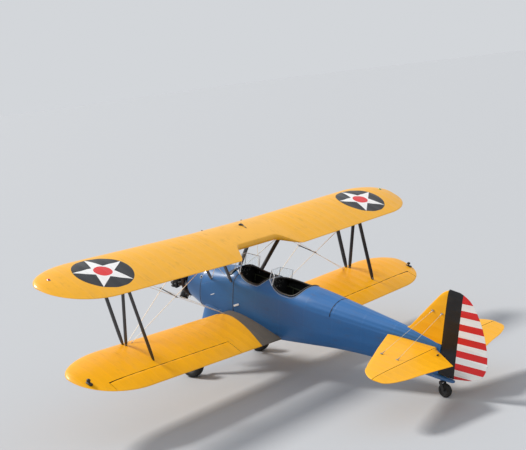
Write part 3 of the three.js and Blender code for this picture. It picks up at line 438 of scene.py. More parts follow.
def piece(name, parts, body, *nodes, slot=None, level=True, sharp=38.0):
    """A mesh of several surfaces, each with its own material, that rides on a body for some nodes."""
    shapes = [shape for shape, _ in parts]
    looks = list(dict.fromkeys(look for _, look in parts))
    whole = total(shapes)
    if level:
        whole = whole.parked()
    mesh = bpy.data.meshes.new(name)
    mesh.from_pydata(whole.points.tolist(), [], [row for f in whole.faces for row in f.tolist()])
    for look in looks:
        mesh.materials.append(material(look))
    index = np.concatenate([
        np.full(sum(len(f) for f in shape.faces), looks.index(look)) for shape, look in parts])
    mesh.polygons.foreach_set("material_index", index.astype(np.int32))
    work = bmesh.new()
    work.from_mesh(mesh)
    bmesh.ops.remove_doubles(work, verts=work.verts, dist=2e-6)
    work.to_mesh(mesh)
    work.free()
    mesh.polygons.foreach_set("use_smooth", np.ones(len(mesh.polygons), bool))
    mesh.set_sharp_from_angle(angle=math.radians(sharp))
    made = bpy.data.objects.new(name, mesh)
    bpy.context.scene.collection.objects.link(made)
    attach(made, body)
    if nodes:
        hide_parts(*nodes)
    return made


def sided(*pieces):
    """Pieces on the port side, then the same to starboard; a star in a name stands for the side."""
    for side, sign in SIDES.items():
        for name, parts, body, node, slot in pieces:
            nodes = [node.replace("*", side)] if node else []
            piece(name.replace("*", side), [(shape.on(sign), look) for shape, look in parts],
                  body.replace("*", side), *nodes, slot=slot)


# The user's settings

def sizes():
    return bpy.context.scene.biplane_sizes


def colours():
    return bpy.context.scene.biplane_colours


# Form of the fuselage

def body_rows(y):
    """The columns of the station table, read along smooth curves at y."""
    return np.moveaxis(curve(STATIONS[:, 1:], y, STATIONS[:, 0]), -1, 0)


def body_points(y, turn, inset=0.0):
    """The fuselage skin: two half superellipses above and below the waist at each station."""
    half, top, bottom, waist, upper, lower = body_rows(y)
    cos, sin = np.cos(turn), np.sin(turn)
    power = np.where(sin > 0, 2 / upper, 2 / lower)
    reach = np.where(sin > 0, top - waist, waist - bottom) - inset
    x = (half - inset) * bent(cos, power)
    z = waist + reach * bent(sin, power)
    return np.stack([x, y + 0 * x, z], -1)


def deck_height(x, y):
    """Height of the deck: waist + (top - waist) * (1 - |x / half|^p)^(1/p)."""
    half, top, _, waist, upper, _ = body_rows(y)
    return waist + (top - waist) * np.clip(1 - np.abs(x / half) ** upper, 0, None) ** (1 / upper)


def deck_top(y):
    """Height of the deck at its middle."""
    return float(body_rows(np.array([y]))[1][0])


def opening_reach(cockpit, behind):
    """Length from the widest place to the edge, and the power of the curve there."""
    reach = np.where(behind, cockpit["back"] - cockpit["widest"], cockpit["widest"] - cockpit["front"])
    return reach, np.where(behind, OPENING_POWERS[1], OPENING_POWERS[0])


def opening(cockpit, turn, grow=0.0):
    """Plan of a cockpit's edge: half superellipses of two powers that meet at the widest place."""
    cos, sin = np.cos(turn), np.sin(turn)
    reach, power = opening_reach(cockpit, sin >= 0)
    x = (cockpit["half"] + grow) * bent(cos, 2 / power)
    return x, cockpit["widest"] + (reach + grow) * bent(sin, 2 / power)


def smooth(low, high, value):
    """A step from 0 to 1 between two values: 3 t^2 - 2 t^3."""
    t = np.clip((value - low) / (high - low), 0, 1)
    return t * t * (3 - 2 * t)


def fabric_sag(y, turn):
    """How far the fabric sinks between stringers, none on the sheet metal or round the cockpits."""
    between = np.sin(np.pi * turn / STRINGER_TURN) ** 2
    deck = np.sin(turn) > 0.02
    shown = np.where(deck, smooth(SPLIT, SPLIT + 0.25, y), smooth(METAL_END + 0.03, METAL_END + 0.2, y))
    shown = shown * (1 - smooth(4.9, TAIL_END, y))
    return STRINGER_SAG * between * shown


# Form of the wings

def half_thickness(c):
    """The four-digit sections' half thickness at a chord fraction, and a blunt trailing edge."""
    curved = 0.2969 * np.sqrt(c) - 0.126 * c - 0.3516 * c**2 + 0.2843 * c**3 - 0.1036 * c**4
    return 5 * THICKNESS * curved + EDGE * c


def camber_line(c):
    """Two parabolas that meet at the highest camber."""
    ahead = CAMBER / CAMBER_AT**2 * (2 * CAMBER_AT * c - c * c)
    behind = CAMBER / (1 - CAMBER_AT) ** 2 * (1 - 2 * CAMBER_AT + 2 * CAMBER_AT * c - c * c)
    return np.where(c < CAMBER_AT, ahead, behind)


def rib(wing, x):
    """Chord, leading edge and tilt of the section at a place along the span."""
    out = np.abs(x)
    past = np.clip(out - (wing["half"] - TIP), 0, TIP) / TIP
    shrink = np.sqrt(np.clip(1 - past**2, 0, None))
    start = TIP_WIDEST * (1 - shrink) * CHORD
    tilt = math.radians(wing["incidence"])
    rise = np.clip(out - wing["bend"], 0, None) * math.tan(math.radians(wing["dihedral"]))
    return CHORD * shrink, wing["y"] + start * math.cos(tilt), wing["z"] + rise - start * math.sin(tilt), tilt


def on_chord(wing, x, c, up):
    """Points at a chord fraction and a height over the chord line, as fractions of the chord."""
    chord, y, z, tilt = rib(wing, x)
    return joined(
        x + 0 * c,
        y + chord * (c * math.cos(tilt) + up * math.sin(tilt)),
        z + chord * (-c * math.sin(tilt) + up * math.cos(tilt)))


def chord_place(wing, x, y):
    """Chord fraction of a place in plan."""
    chord, front, _, tilt = rib(wing, x)
    return np.clip((y - front) / (np.maximum(chord, 1e-6) * math.cos(tilt)), 0, 1)


def skin_at(wing, x, y, side):
    """A point on the top (side 1) or the underside (side -1) over a place in plan."""
    c = chord_place(wing, x, y)
    return on_chord(wing, np.asarray(x, float), c, camber_line(c) + side * half_thickness(c))


def rib_sag(wing, x, c, first):
    """How far the covering sinks between ribs, in chord fractions, behind the nose sheet."""
    between = np.sin(np.pi * (np.abs(x) - first) / sizes().rib_bay) ** 2
    chord = rib(wing, x)[0]
    behind_nose = smooth(0.09, 0.2, c) * (1 - smooth(0.9, 1.0, c))
    return sizes().rib_sag * between * behind_nose / np.maximum(chord, 0.3)


def span_rows(wing, first, last, between=6):
    """Places along the span: each rib, some rows between, and an ellipse's spacing in the tip."""
    bend = wing["half"] - TIP
    straight = np.linspace(first, bend, max(2, round((bend - first) / sizes().rib_bay * between) + 1))
    tip = bend + TIP * np.sin(np.linspace(0, math.radians(89.2), 40)[1:])
    rows = np.concatenate([straight, tip])
    return rows[rows <= last + 1e-9]


def skins(wing, x, c, side, first):
    """Points of the sagging cloth on the top (side 1) or the underside (side -1)."""
    return on_chord(wing, x, c, camber_line(c) + side * (half_thickness(c) - rib_sag(wing, x, c, first)))


def front_part(wing, x, split, first, split_under=None):
    """Skin from the split over the top to the nose and back along the underside."""
    share = 0.5 * (1 + np.cos(np.linspace(0, np.pi, FRONT_COLUMNS)))[None, :]
    under_split = split if split_under is None else split_under
    top = skins(wing, x, share * split, 1, first)
    under = skins(wing, x, (share * under_split)[:, ::-1][:, 1:], -1, first)
    return np.concatenate([top, under], 1)


def aft_part(wing, x, split, first):
    """Skin from the split along the underside to the trailing edge and back over the top."""
    share = np.linspace(0, 1, AFT_COLUMNS + 1)[None, 1:]
    c = split + share * (1 - split)
    whole = np.ones_like(split)
    under = skins(wing, x, c, -1, first)
    edge = on_chord(wing, x, whole + EDGE, camber_line(whole))
    top = skins(wing, x, c[:, ::-1], 1, first)
    return np.concatenate([under, edge, top], 1)


def lower_skin(x, y, side):
    """Height of the lower wing's cloth over or under a place in plan, with its sag."""
    return skins(LOWER, x, chord_place(LOWER, x, y), side, LOWER_FIRST_RIB)[..., 2]


def hinge_section(x):
    """Middle height and half height of the lower wing over the aileron's hinge line."""
    top, under = (skin_at(LOWER, x, HINGE_Y, side)[..., 2] for side in (1, -1))
    return (top + under) / 2, (top - under) / 2


def hinge_height(x):
    """Height of the straight hinge line."""
    low, high = (float(hinge_section(at)[0]) for at in HINGE_FROM)
    return low + (high - low) * (x - HINGE_FROM[0]) / (HINGE_FROM[1] - HINGE_FROM[0])


def aileron_nose(x, count):
    """Half an ellipse ahead of the hinge line, from the underside to the top."""
    top, under = (lower_skin(x, HINGE_Y, side) for side in (1, -1))
    middle, radius = (top + under) / 2, (top - under) / 2
    turn = np.linspace(-np.pi / 2, np.pi / 2, count)[None, :]
    reach = radius - 0.001
    return joined(x, HINGE_Y - reach * np.cos(turn), middle + radius * np.sin(turn))


def cove(x, count):
    """An arc about the hinge line that clears the aileron's nose, and where it meets each skin."""
    middle, radius = hinge_section(x)
    axis = hinge_height(x)
    reach = radius + abs(middle - axis) + AILERON["cove"]
    places, turns = [], []
    for side in (-1, 1):
        y = np.full_like(x, HINGE_Y)
        for _ in range(5):
            away = lower_skin(x, y, side) - axis
            y = HINGE_Y - np.sqrt(np.clip(reach**2 - away**2, 0, None))
        places.append(chord_place(LOWER, x, y))
        turns.append(np.arcsin(np.clip(away / reach, -1, 1)))
    turn = turns[0] + (turns[1] - turns[0]) * np.linspace(0, 1, count)[None, :]
    return joined(x, HINGE_Y - reach * np.cos(turn), axis + reach * np.sin(turn)), places


def wing_panel(wing, first, rows, aileron=False):
    """A wing from the root to the tip; with an aileron its bay is left open and coved."""
    x = rows[:, None]
    split = chord_place(wing, x, HINGE_Y) if aileron else np.full_like(x, SPLIT_CHORD)
    split = np.clip(split, 0.3, 0.97)
    full = np.concatenate([front_part(wing, x, split, first), aft_part(wing, x, split, first)], 1)
    if not aileron:
        return lofted(full)
    arc, (under, top) = cove(x, 2 * AFT_COLUMNS + 1)
    bay = np.concatenate([front_part(wing, x, top, first, under), arc], 1)
    edges = (AILERON["inner"] - AILERON["gap"], AILERON["outer"] + AILERON["gap"])
    inside = (rows > edges[0] - 1e-9) & (rows < edges[1] + 1e-9)
    starts, ends = np.flatnonzero(inside)[[0, -1]]
    points = np.concatenate([full[:starts + 1], bay[starts:ends + 1], full[ends:]])
    columns = points.shape[1]
    return parted(lofted(points), columns, 2 * FRONT_COLUMNS - 2, columns, starts, ends + 2)


def aileron_panel(rows, first):
    """An aileron: the wing's own skins behind the hinge line, and a round nose."""
    x = rows[:, None]
    split = chord_place(LOWER, x, HINGE_Y)
    aft = aft_part(LOWER, x, split, first)
    nose = aileron_nose(x, 13)[:, ::-1]
    return lofted(np.concatenate([aft, nose], 1))


def chord_left(x):
    """Chord fraction that the cutout leaves: flat in the middle, then half a cosine wave."""
    share = np.clip((np.abs(x) - CUTOUT_FLAT) / (CENTRE_HALF - CUTOUT_FLAT), 0, 1)
    return CUTOUT_CHORD + (1 - CUTOUT_CHORD) * 0.5 * (1 - np.cos(np.pi * share))


def centre_panel():
    """The centre section, with its trailing edge cut away over the cockpit and rounded there."""
    x = np.linspace(-CENTRE_HALF + 0.001, CENTRE_HALF - 0.001, 73)[:, None]
    end = chord_left(x)
    radius = np.minimum(half_thickness(end), 0.04)
    share = 0.5 * (1 - np.cos(np.linspace(0, np.pi, 40)))[None, :]
    flat = share * (end - radius)
    turn = np.radians([15, 30, 45, 60, 75, 90])[None, :]
    c = np.concatenate([flat, end - radius + radius * np.sin(turn)], 1)
    past = np.clip((c - (end - radius)) / radius, 0, 1)
    half = half_thickness(c) * np.sqrt(1 - past**2)
    top = on_chord(UPPER, x, c, camber_line(c) + half)
    under = on_chord(UPPER, x, c[:, ::-1][:, 1:-1], (camber_line(c) - half)[:, ::-1][:, 1:-1])
    return lofted(np.concatenate([top, under], 1))


# Form of the tail surfaces

def outline(table, span):
    """Leading edge, trailing edge and half thickness at places along a tail surface's span."""
    fine = curve(table, np.linspace(0, len(table) - 1, 400))
    fine[:, 0] = np.maximum.accumulate(fine[:, 0])
    return [np.interp(span, fine[:, 0], fine[:, k])[:, None] for k in (1, 2, 3)]


def tail_sag(span, share):
    """How far the covering sinks between a tail surface's ribs: a sine squared along the span."""
    between = np.sin(np.pi * span / sizes().tail_bay) ** 2
    return 0.6 * sizes().rib_sag * between * smooth(0.1, 0.35, share) * (1 - smooth(0.85, 1.0, share))


def fore_surface(table, span, hinge):
    """Fin or stabilizer: an elliptic nose growing to full thickness, coved at the hinge."""
    front, _, half = outline(table, span)
    reach = half + TAIL_GAP
    room = (hinge(span)[:, None] - front > reach + 0.004)[:, 0]
    span, front, half, reach = span[room, None], front[room], half[room], reach[room]
    axis = hinge(span)
    length = axis - front
    share = 0.5 * (1 - np.cos(np.linspace(0, np.pi, FORE_COLUMNS)))[None, :]
    lip = 1 - np.sqrt(reach**2 - half**2) / length
    thick = half * np.sqrt(1 - (1 - share) ** 2) - tail_sag(span, share)
    side = joined(span, axis - length * (1 - share * lip), np.maximum(thick, 0))
    turn = np.arcsin(side[:, -1:, 2] / reach) * np.linspace(1, -1, HOLLOW_COLUMNS + 2)[None, 1:-1]
    hollow = joined(span, axis - reach * np.cos(turn), reach * np.sin(turn))
    other = side[:, ::-1][:, :-1] * [1, 1, -1]
    return np.concatenate([side, hollow, other], 1)


def fore_shapes(points):
    """The hollow of a fin or stabilizer, which is painted dark as shade, and the rest of it."""
    return parted(lofted(points), points.shape[1], FORE_COLUMNS - 1, FORE_COLUMNS + HOLLOW_COLUMNS)


def aft_surface(table, span, hinge, back_limit=None):
    """Rudder or elevator: a round nose on the hinge line and a wedge to the trailing edge."""
    _, back, half = outline(table, span)
    span = span[:, None]
    axis = hinge(span)
    if back_limit is not None:
        back = np.minimum(back, back_limit(span))
    length = np.maximum(back - axis, 0.004)
    share = np.linspace(0, 1, 22)[None, :]
    thick = half + share * (np.minimum(TAIL_EDGE, half) - half) - tail_sag(span, share)
    side = joined(span, axis + length * share, thick)
    edge = joined(span, axis + length + 0.003, 0 * half)
    turn = np.linspace(-np.pi / 2, np.pi / 2, 13)[None, 1:-1]
    nose = joined(span, axis - (half - 0.001) * np.cos(turn), half * np.sin(turn))
    return np.concatenate([side, edge, side[:, ::-1] * [1, 1, -1], nose], 1)


def lying(points):
    """From span, y, thickness to a tailplane half on the port side."""
    return points + [0, 0, ELEVATOR_HINGE[1]]


def standing(points):
    """From height, y, thickness to a fin or rudder."""
    return points[..., ::-1]


def rudder_hinge(z):
    return RUDDER["y"] + RUDDER["lean"] * z


def elevator_hinge(span):
    return np.full_like(span, ELEVATOR_HINGE[0])


def elevator_end(span):
    """How far aft an elevator may reach: a slant beside the rudder, and no limit further out."""
    slant = (ELEVATOR_NOTCH[1] - ELEVATOR_HINGE[0]) / (ELEVATOR_NOTCH[0] - ELEVATOR_ROOT)
    return np.where(span < ELEVATOR_NOTCH[0], ELEVATOR_HINGE[0] + (span - ELEVATOR_ROOT) * slant, np.inf)


# Shader values

def feed(tree, slot, value):
    if isinstance(value, Field):
        value = value.socket
    if isinstance(value, bpy.types.NodeSocket):
        tree.links.new(value, slot)
    else:
        slot.default_value = value


class Field:
    """A number in a shader, on which ordinary arithmetic adds Math nodes."""

    def __init__(self, tree, socket):
        self.tree = tree
        self.socket = socket

    def math(self, kind, *others):
        made = self.tree.nodes.new("ShaderNodeMath")
        made.operation = kind
        for slot, value in zip(made.inputs, (self, *others)):
            feed(self.tree, slot, value)
        return Field(self.tree, made.outputs[0])

    def __add__(self, other):
        return self.math("ADD", other)

    def __sub__(self, other):
        return self.math("SUBTRACT", other)

    def __mul__(self, other):
        return self.math("MULTIPLY", other)

    def __truediv__(self, other):
        return self.math("DIVIDE", other)

    def __abs__(self):
        return self.math("ABSOLUTE")

    def above(self, other):
        return self.math("GREATER_THAN", other)

    def below(self, other):
        return self.math("LESS_THAN", other)

    def power(self, other):
        return self.math("POWER", other)

    def least(self, other):
        return self.math("MINIMUM", other)

    def most(self, other):
        return self.math("MAXIMUM", other)

    def eased(self, low, high):
        """0 below low, 1 above high and smooth between, by a Map Range node."""
        made = self.tree.nodes.new("ShaderNodeMapRange")
        made.interpolation_type = "SMOOTHSTEP"
        for label, value in [("Value", self), ("From Min", low), ("From Max", high)]:
            feed(self.tree, made.inputs[label], value)
        return Field(self.tree, made.outputs[0])


def node(tree, kind, inputs=(), **settings):
    made = tree.nodes.new("ShaderNode" + kind)
    for key, value in settings.items():
        setattr(made, key, value)
    for key, value in dict(inputs).items():
        feed(tree, made.inputs[key], value)
    return made


def blend_colour(tree, share, first, second):
    return node(tree, "Mix", {0: share, 6: first, 7: second}, data_type="RGBA").outputs[2]


def scaled(tree, colour, factor):
    colour = colour[:3] if isinstance(colour, tuple) else colour
    return node(tree, "VectorMath", {0: colour, "Scale": factor}, operation="SCALE").outputs[0]


FLOAT = "NodeSocketFloat"
VECTOR = "NodeSocketVector"
COLOUR = "NodeSocketColor"


def group(name, inputs, outputs, build):
    """A shader node group that is built once; build returns its results by name."""
    made = bpy.data.node_groups.get(name)
    if made:
        return made
    made = bpy.data.node_groups.new(name, "ShaderNodeTree")
    for label, (kind, default) in inputs.items():
        socket = made.interface.new_socket(label, in_out="INPUT", socket_type=kind)
        if default is not None:
            socket.default_value = default
    for label, kind in outputs.items():
        made.interface.new_socket(label, in_out="OUTPUT", socket_type=kind)
    start = made.nodes.new("NodeGroupInput")
    end = made.nodes.new("NodeGroupOutput")
    fields = {
        label: Field(made, start.outputs[label]) if kind == FLOAT else start.outputs[label]
        for label, (kind, _) in inputs.items()}
    for label, value in build(made, fields).items():
        feed(made, end.inputs[label], value)
    return made


def use(tree, made, **inputs):
    placed = tree.nodes.new("ShaderNodeGroup")
    placed.node_tree = made
    for label, value in inputs.items():
        feed(tree, placed.inputs[label.replace("_", " ")], value)
    return placed


def separate(tree, vector):
    made = node(tree, "SeparateXYZ", {0: vector})
    return [Field(tree, made.outputs[k]) for k in range(3)]


def level_group():
    """Object coordinates turned back into the level frame."""
    def build(tree, _):
        place = tree.nodes.new("ShaderNodeTexCoord").outputs["Object"]
        back = -(TURN.T @ SHIFT)
        mapping = node(tree, "Mapping", {"Vector": place, "Location": tuple(back), "Rotation": (PITCH, 0, 0)})
        return {"Place": mapping.outputs[0]}
    return group("level place", {}, {"Place": VECTOR}, build)


def tone_group():
    """Slow changes of brightness about 1."""
    def build(tree, inputs):
        noise = node(tree, "TexNoise", {"Vector": inputs["Place"], "Scale": inputs["Scale"], "Detail": 4.0})
        value = (Field(tree, noise.outputs["Fac"]) - 0.5) * inputs["Amount"] * 2.0 + 1.0
        return {"Factor": value}
    return group(
        "tone", {"Place": (VECTOR, None), "Scale": (FLOAT, 2.0), "Amount": (FLOAT, 0.1)},
        {"Factor": FLOAT}, build)


def grime_group():
    """Dirt that gathers in soft patches and in streaks that run aft."""
    def build(tree, inputs):
        stretched = node(tree, "VectorMath", {0: inputs["Place"], 1: (1.0, 0.16, 1.0)}, operation="MULTIPLY")
        streaks = node(tree, "TexNoise", {"Vector": stretched.outputs[0], "Scale": 26.0, "Detail": 5.0})
        patches = node(tree, "TexNoise", {"Vector": inputs["Place"], "Scale": 3.1, "Detail": 5.0})
        lines = Field(tree, streaks.outputs["Fac"]).eased(0.46, 0.74)
        clouds = Field(tree, patches.outputs["Fac"]).eased(0.4, 0.72)
        return {"Mask": lines * clouds * inputs["Amount"]}
    return group("grime", {"Place": (VECTOR, None), "Amount": (FLOAT, 0.5)}, {"Mask": FLOAT}, build)


def weave_group():
    """Threads of doped cloth, as a height from 0 to 1."""
    def build(tree, inputs):
        x, y, z = separate(tree, inputs["Place"])
        across = (x * inputs["Threads"]).math("SINE")
        along = ((y + z * 0.7) * inputs["Threads"]).math("SINE")
        return {"Height": across * along * 0.5 + 0.5}
    return group("weave", {"Place": (VECTOR, None), "Threads": (FLOAT, 2400.0)}, {"Height": FLOAT}, build)


def tape_group():
    """Tapes over ribs: 1 on a tape, with its stitches as small bumps along it."""
    def build(tree, inputs):
        bay = inputs["Bay"]
        phase = ((inputs["Along"] - inputs["First"]) / bay).math("FRACT")
        away = (abs(phase - 0.5) * -1.0 + 0.5) * bay
        tape = away.eased(inputs["Half"], inputs["Half"] * 0.86)
        stitch = (inputs["Across"] * 90.0).math("SINE").eased(0.55, 0.95) * away.eased(0.006, 0.002)
        return {"Tape": tape, "Stitch": stitch}
    return group(
        "rib tapes",
        {"Along": (FLOAT, 0.0), "Across": (FLOAT, 0.0), "First": (FLOAT, 0.0),
         "Bay": (FLOAT, 0.25), "Half": (FLOAT, 0.02)},
        {"Tape": FLOAT, "Stitch": FLOAT}, build)


def roundel_group():
    """A disc with a five-pointed star, one point forward, and a small disc at its middle."""
    def build(tree, inputs):
        x, y, radius = inputs["Across"], inputs["Along"], inputs["Radius"]
        away = (x * x + y * y).math("SQRT")
        turn = x.math("ARCTAN2", y * -1.0)
        fifth = 2 * math.pi / 5
        folded = abs((turn + fifth / 2).math("FLOORED_MODULO", fifth) - fifth / 2)
        star = (away * (folded + math.radians(18)).math("SINE")).below(radius * math.sin(math.radians(18)))
        disc = away.below(radius)
        centre = away.below(radius * 0.31)
        colour = blend_colour(tree, star * disc, inputs["Disc"], inputs["Star"])
        return {"Color": blend_colour(tree, centre, colour, inputs["Centre"]), "Mask": disc}
    grey = (0.5, 0.5, 0.5, 1.0)
    return group(
        "star roundel",
        {"Across": (FLOAT, 0.0), "Along": (FLOAT, 0.0), "Radius": (FLOAT, 0.5),
         "Disc": (COLOUR, grey), "Star": (COLOUR, grey), "Centre": (COLOUR, grey)},
        {"Color": COLOUR, "Mask": FLOAT}, build)


def chips_group():
    """Small worn specks, as a mask."""
    def build(tree, inputs):
        fine = node(tree, "TexNoise", {
            "Vector": inputs["Place"], "Scale": inputs["Scale"], "Detail": 8.0, "Roughness": 0.7})
        broad = node(tree, "TexNoise", {"Vector": inputs["Place"], "Scale": 4.0, "Detail": 2.0})
        specks = Field(tree, fine.outputs["Fac"]).eased(0.62, 0.66)
        places = Field(tree, broad.outputs["Fac"]).eased(0.45, 0.65)
        return {"Mask": specks * places * inputs["Amount"]}
    return group(
        "chips", {"Place": (VECTOR, None), "Scale": (FLOAT, 60.0), "Amount": (FLOAT, 1.0)},
        {"Mask": FLOAT}, build)


# Materials

def start_material(name):
    made = bpy.data.materials.new(name)
    made.use_nodes = True
    tree = made.node_tree
    shader = tree.nodes["Principled BSDF"]
    place = use(tree, level_group()).outputs["Place"]
    return made, tree, shader, place


def rgba(colour):
    return (*colour, 1.0)


def height_bump(tree, shader, height, distance):
    bump = node(tree, "Bump", {"Height": height, "Distance": distance, "Strength": 1.0})
    tree.links.new(bump.outputs["Normal"], shader.inputs["Normal"])


def finish(name, colour, roughness, metallic=0.0, coat=0.0, tone=0.08, tone_scale=2.5,
           grime=0.25, chips=0.0, under=(0.5, 0.5, 0.5), bump=0.0004, bump_scale=40.0):
    """Paint, metal, rubber or leather: one colour with slow tones, dirt, chips and a fine surface."""
    made, tree, shader, place = start_material(name)
    factor = use(tree, tone_group(), Place=place, Scale=tone_scale, Amount=tone).outputs["Factor"]
    shade = scaled(tree, rgba(colour), factor)
    dirt = use(tree, grime_group(), Place=place, Amount=grime).outputs["Mask"]
    shade = blend_colour(tree, dirt, shade, rgba(tuple(0.3 * c + 0.02 for c in colour)))
    rough = Field(tree, dirt) * 0.3 + roughness
    if chips:
        worn = use(tree, chips_group(), Place=place, Amount=chips).outputs["Mask"]
        shade = blend_colour(tree, worn, shade, rgba(under))
        rough = rough + Field(tree, worn) * 0.15
    tree.links.new(shade, shader.inputs["Base Color"])
    feed(tree, shader.inputs["Roughness"], rough)
    shader.inputs["Metallic"].default_value = metallic
    shader.inputs["Coat Weight"].default_value = coat
    noise = node(tree, "TexNoise", {"Vector": place, "Scale": bump_scale, "Detail": 6.0})
    height_bump(tree, shader, noise.outputs["Fac"], bump)
    return made


def cloth_base(tree, shader, place, colour, tape, stitch, grime=0.35, coat=0.12):
    """Doped cloth: tapes a little proud and paler, dirt in streaks, threads under the gloss."""
    factor = use(tree, tone_group(), Place=place, Scale=1.4, Amount=0.07).outputs["Factor"]
    fine = use(tree, tone_group(), Place=place, Scale=18.0, Amount=0.025).outputs["Factor"]
    shade = scaled(tree, colour, Field(tree, factor) * Field(tree, fine) * (tape * 0.03 + 1.0))
    dirt = Field(tree, use(tree, grime_group(), Place=place, Amount=grime).outputs["Mask"])
    shade = blend_colour(tree, dirt * 0.55, shade, (0.09, 0.07, 0.05, 1.0))
    tree.links.new(shade, shader.inputs["Base Color"])
    feed(tree, shader.inputs["Roughness"], dirt * 0.25 + 0.4)
    shader.inputs["Coat Weight"].default_value = coat
    shader.inputs["Coat Roughness"].default_value = 0.2
    shader.inputs["Specular IOR Level"].default_value = 0.3
    threads = Field(tree, use(tree, weave_group(), Place=place).outputs["Height"])
    height_bump(tree, shader, threads * 0.06 + tape * 0.6 + stitch * 0.5, 0.0011)


def rib_tapes(tree, along, across, first, bay, half):
    """Masks of the tapes over ribs and of their stitches."""
    made = use(tree, tape_group(), Along=along, Across=across, First=first, Bay=bay, Half=half)
    return [Field(tree, made.outputs[k]) for k in ("Tape", "Stitch")]


def wing_cloth(name, wing, first, roundel, walkway=False):
    """Yellow doped cloth of a wing; roundel is (x, y, radius, side of the wing)."""
    made, tree, shader, place = start_material(name)
    x, y, z = separate(tree, place)
    out = abs(x)
    tape, stitch = rib_tapes(tree, out, y, first, sizes().rib_bay, sizes().tape / 2)
    tilt = math.tan(math.radians(wing["incidence"]))
    rise = math.tan(math.radians(wing["dihedral"]))
    chord_z = (y - wing["y"]) * -tilt + (out - wing["bend"]).most(0.0) * rise + wing["z"]
    top = z.above(chord_z)
    colour = rgba(colours().wing)
    if walkway:
        c = (y - wing["y"]) / CHORD
        front = (c * -5.0 + 1.0).most(0.0).power(2.0) * 0.14
        back = ((c - 0.25).most(0.0) / 0.75).power(1.3) * 0.265
        edge = front + back + 0.65
        speck = node(tree, "TexNoise", {"Vector": place, "Scale": 900.0, "Detail": 2.0}).outputs["Fac"]
        grit = blend_colour(tree, speck, (0.07, 0.06, 0.05, 1.0), rgba(colours().walkway))
        colour = blend_colour(tree, out.below(edge) * top, colour, grit)
    cx, cy, radius, side = roundel
    star = use(
        tree, roundel_group(), Across=out - cx, Along=y - cy, Radius=radius,
        Disc=rgba(colours().roundel_blue), Star=rgba(colours().white), Centre=rgba(colours().red))
    shown = top if side > 0 else top * -1.0 + 1.0
    colour = blend_colour(tree, Field(tree, star.outputs["Mask"]) * shown, colour, star.outputs["Color"])
    cloth_base(tree, shader, place, colour, tape, stitch, coat=wing["coat"])
    return made


def tail_cloth(name, upright=False, stripes=False):
    """Yellow doped cloth of a tail surface; the rudder's has stripes behind a dark band."""
    made, tree, shader, place = start_material(name)
    x, y, z = separate(tree, place)
    along = z if upright else abs(x)
    tape, stitch = rib_tapes(tree, along, y, 0.0, sizes().tail_bay, sizes().tape / 2.4)
    colour = rgba(colours().wing)
    if stripes:
        top = FIN[-1, 0]
        row = ((z * -1.0 + top + (y - STRIPE_AFT) * STRIPE_TILT) / sizes().stripe).math("FLOOR")
        odd = row.math("MODULO", 2.0).above(0.5)
        colour = blend_colour(tree, odd, rgba(colours().red), rgba(colours().white))
        colour = blend_colour(tree, y.below(sizes().band_end), colour, rgba(colours().roundel_blue))
    cloth_base(tree, shader, place, colour, tape, stitch)
    return made


def fuselage_cloth(name):
    """Painted cloth with tapes over the frames, behind the sheet panels."""
    made, tree, shader, place = start_material(name)
    _, y, z = separate(tree, place)
    tape, stitch = rib_tapes(tree, y, z, METAL_END, 0.63, 0.016)
    behind = y.above(METAL_END)
    cloth_base(tree, shader, place, rgba(colours().fuselage), tape * behind, stitch * behind, grime=0.5)
    return made


def clear_glass(name):
    """Clear sheet with a few smears."""
    made, tree, shader, place = start_material(name)
    smear = Field(tree, use(tree, grime_group(), Place=place, Amount=0.5).outputs["Mask"])
    feed(tree, shader.inputs["Roughness"], smear * 0.2 + 0.03)
    shader.inputs["Base Color"].default_value = (0.95, 0.98, 1.0, 1.0)
    shader.inputs["Transmission Weight"].default_value = 0.97
    shader.inputs["IOR"].default_value = 1.2
    return made


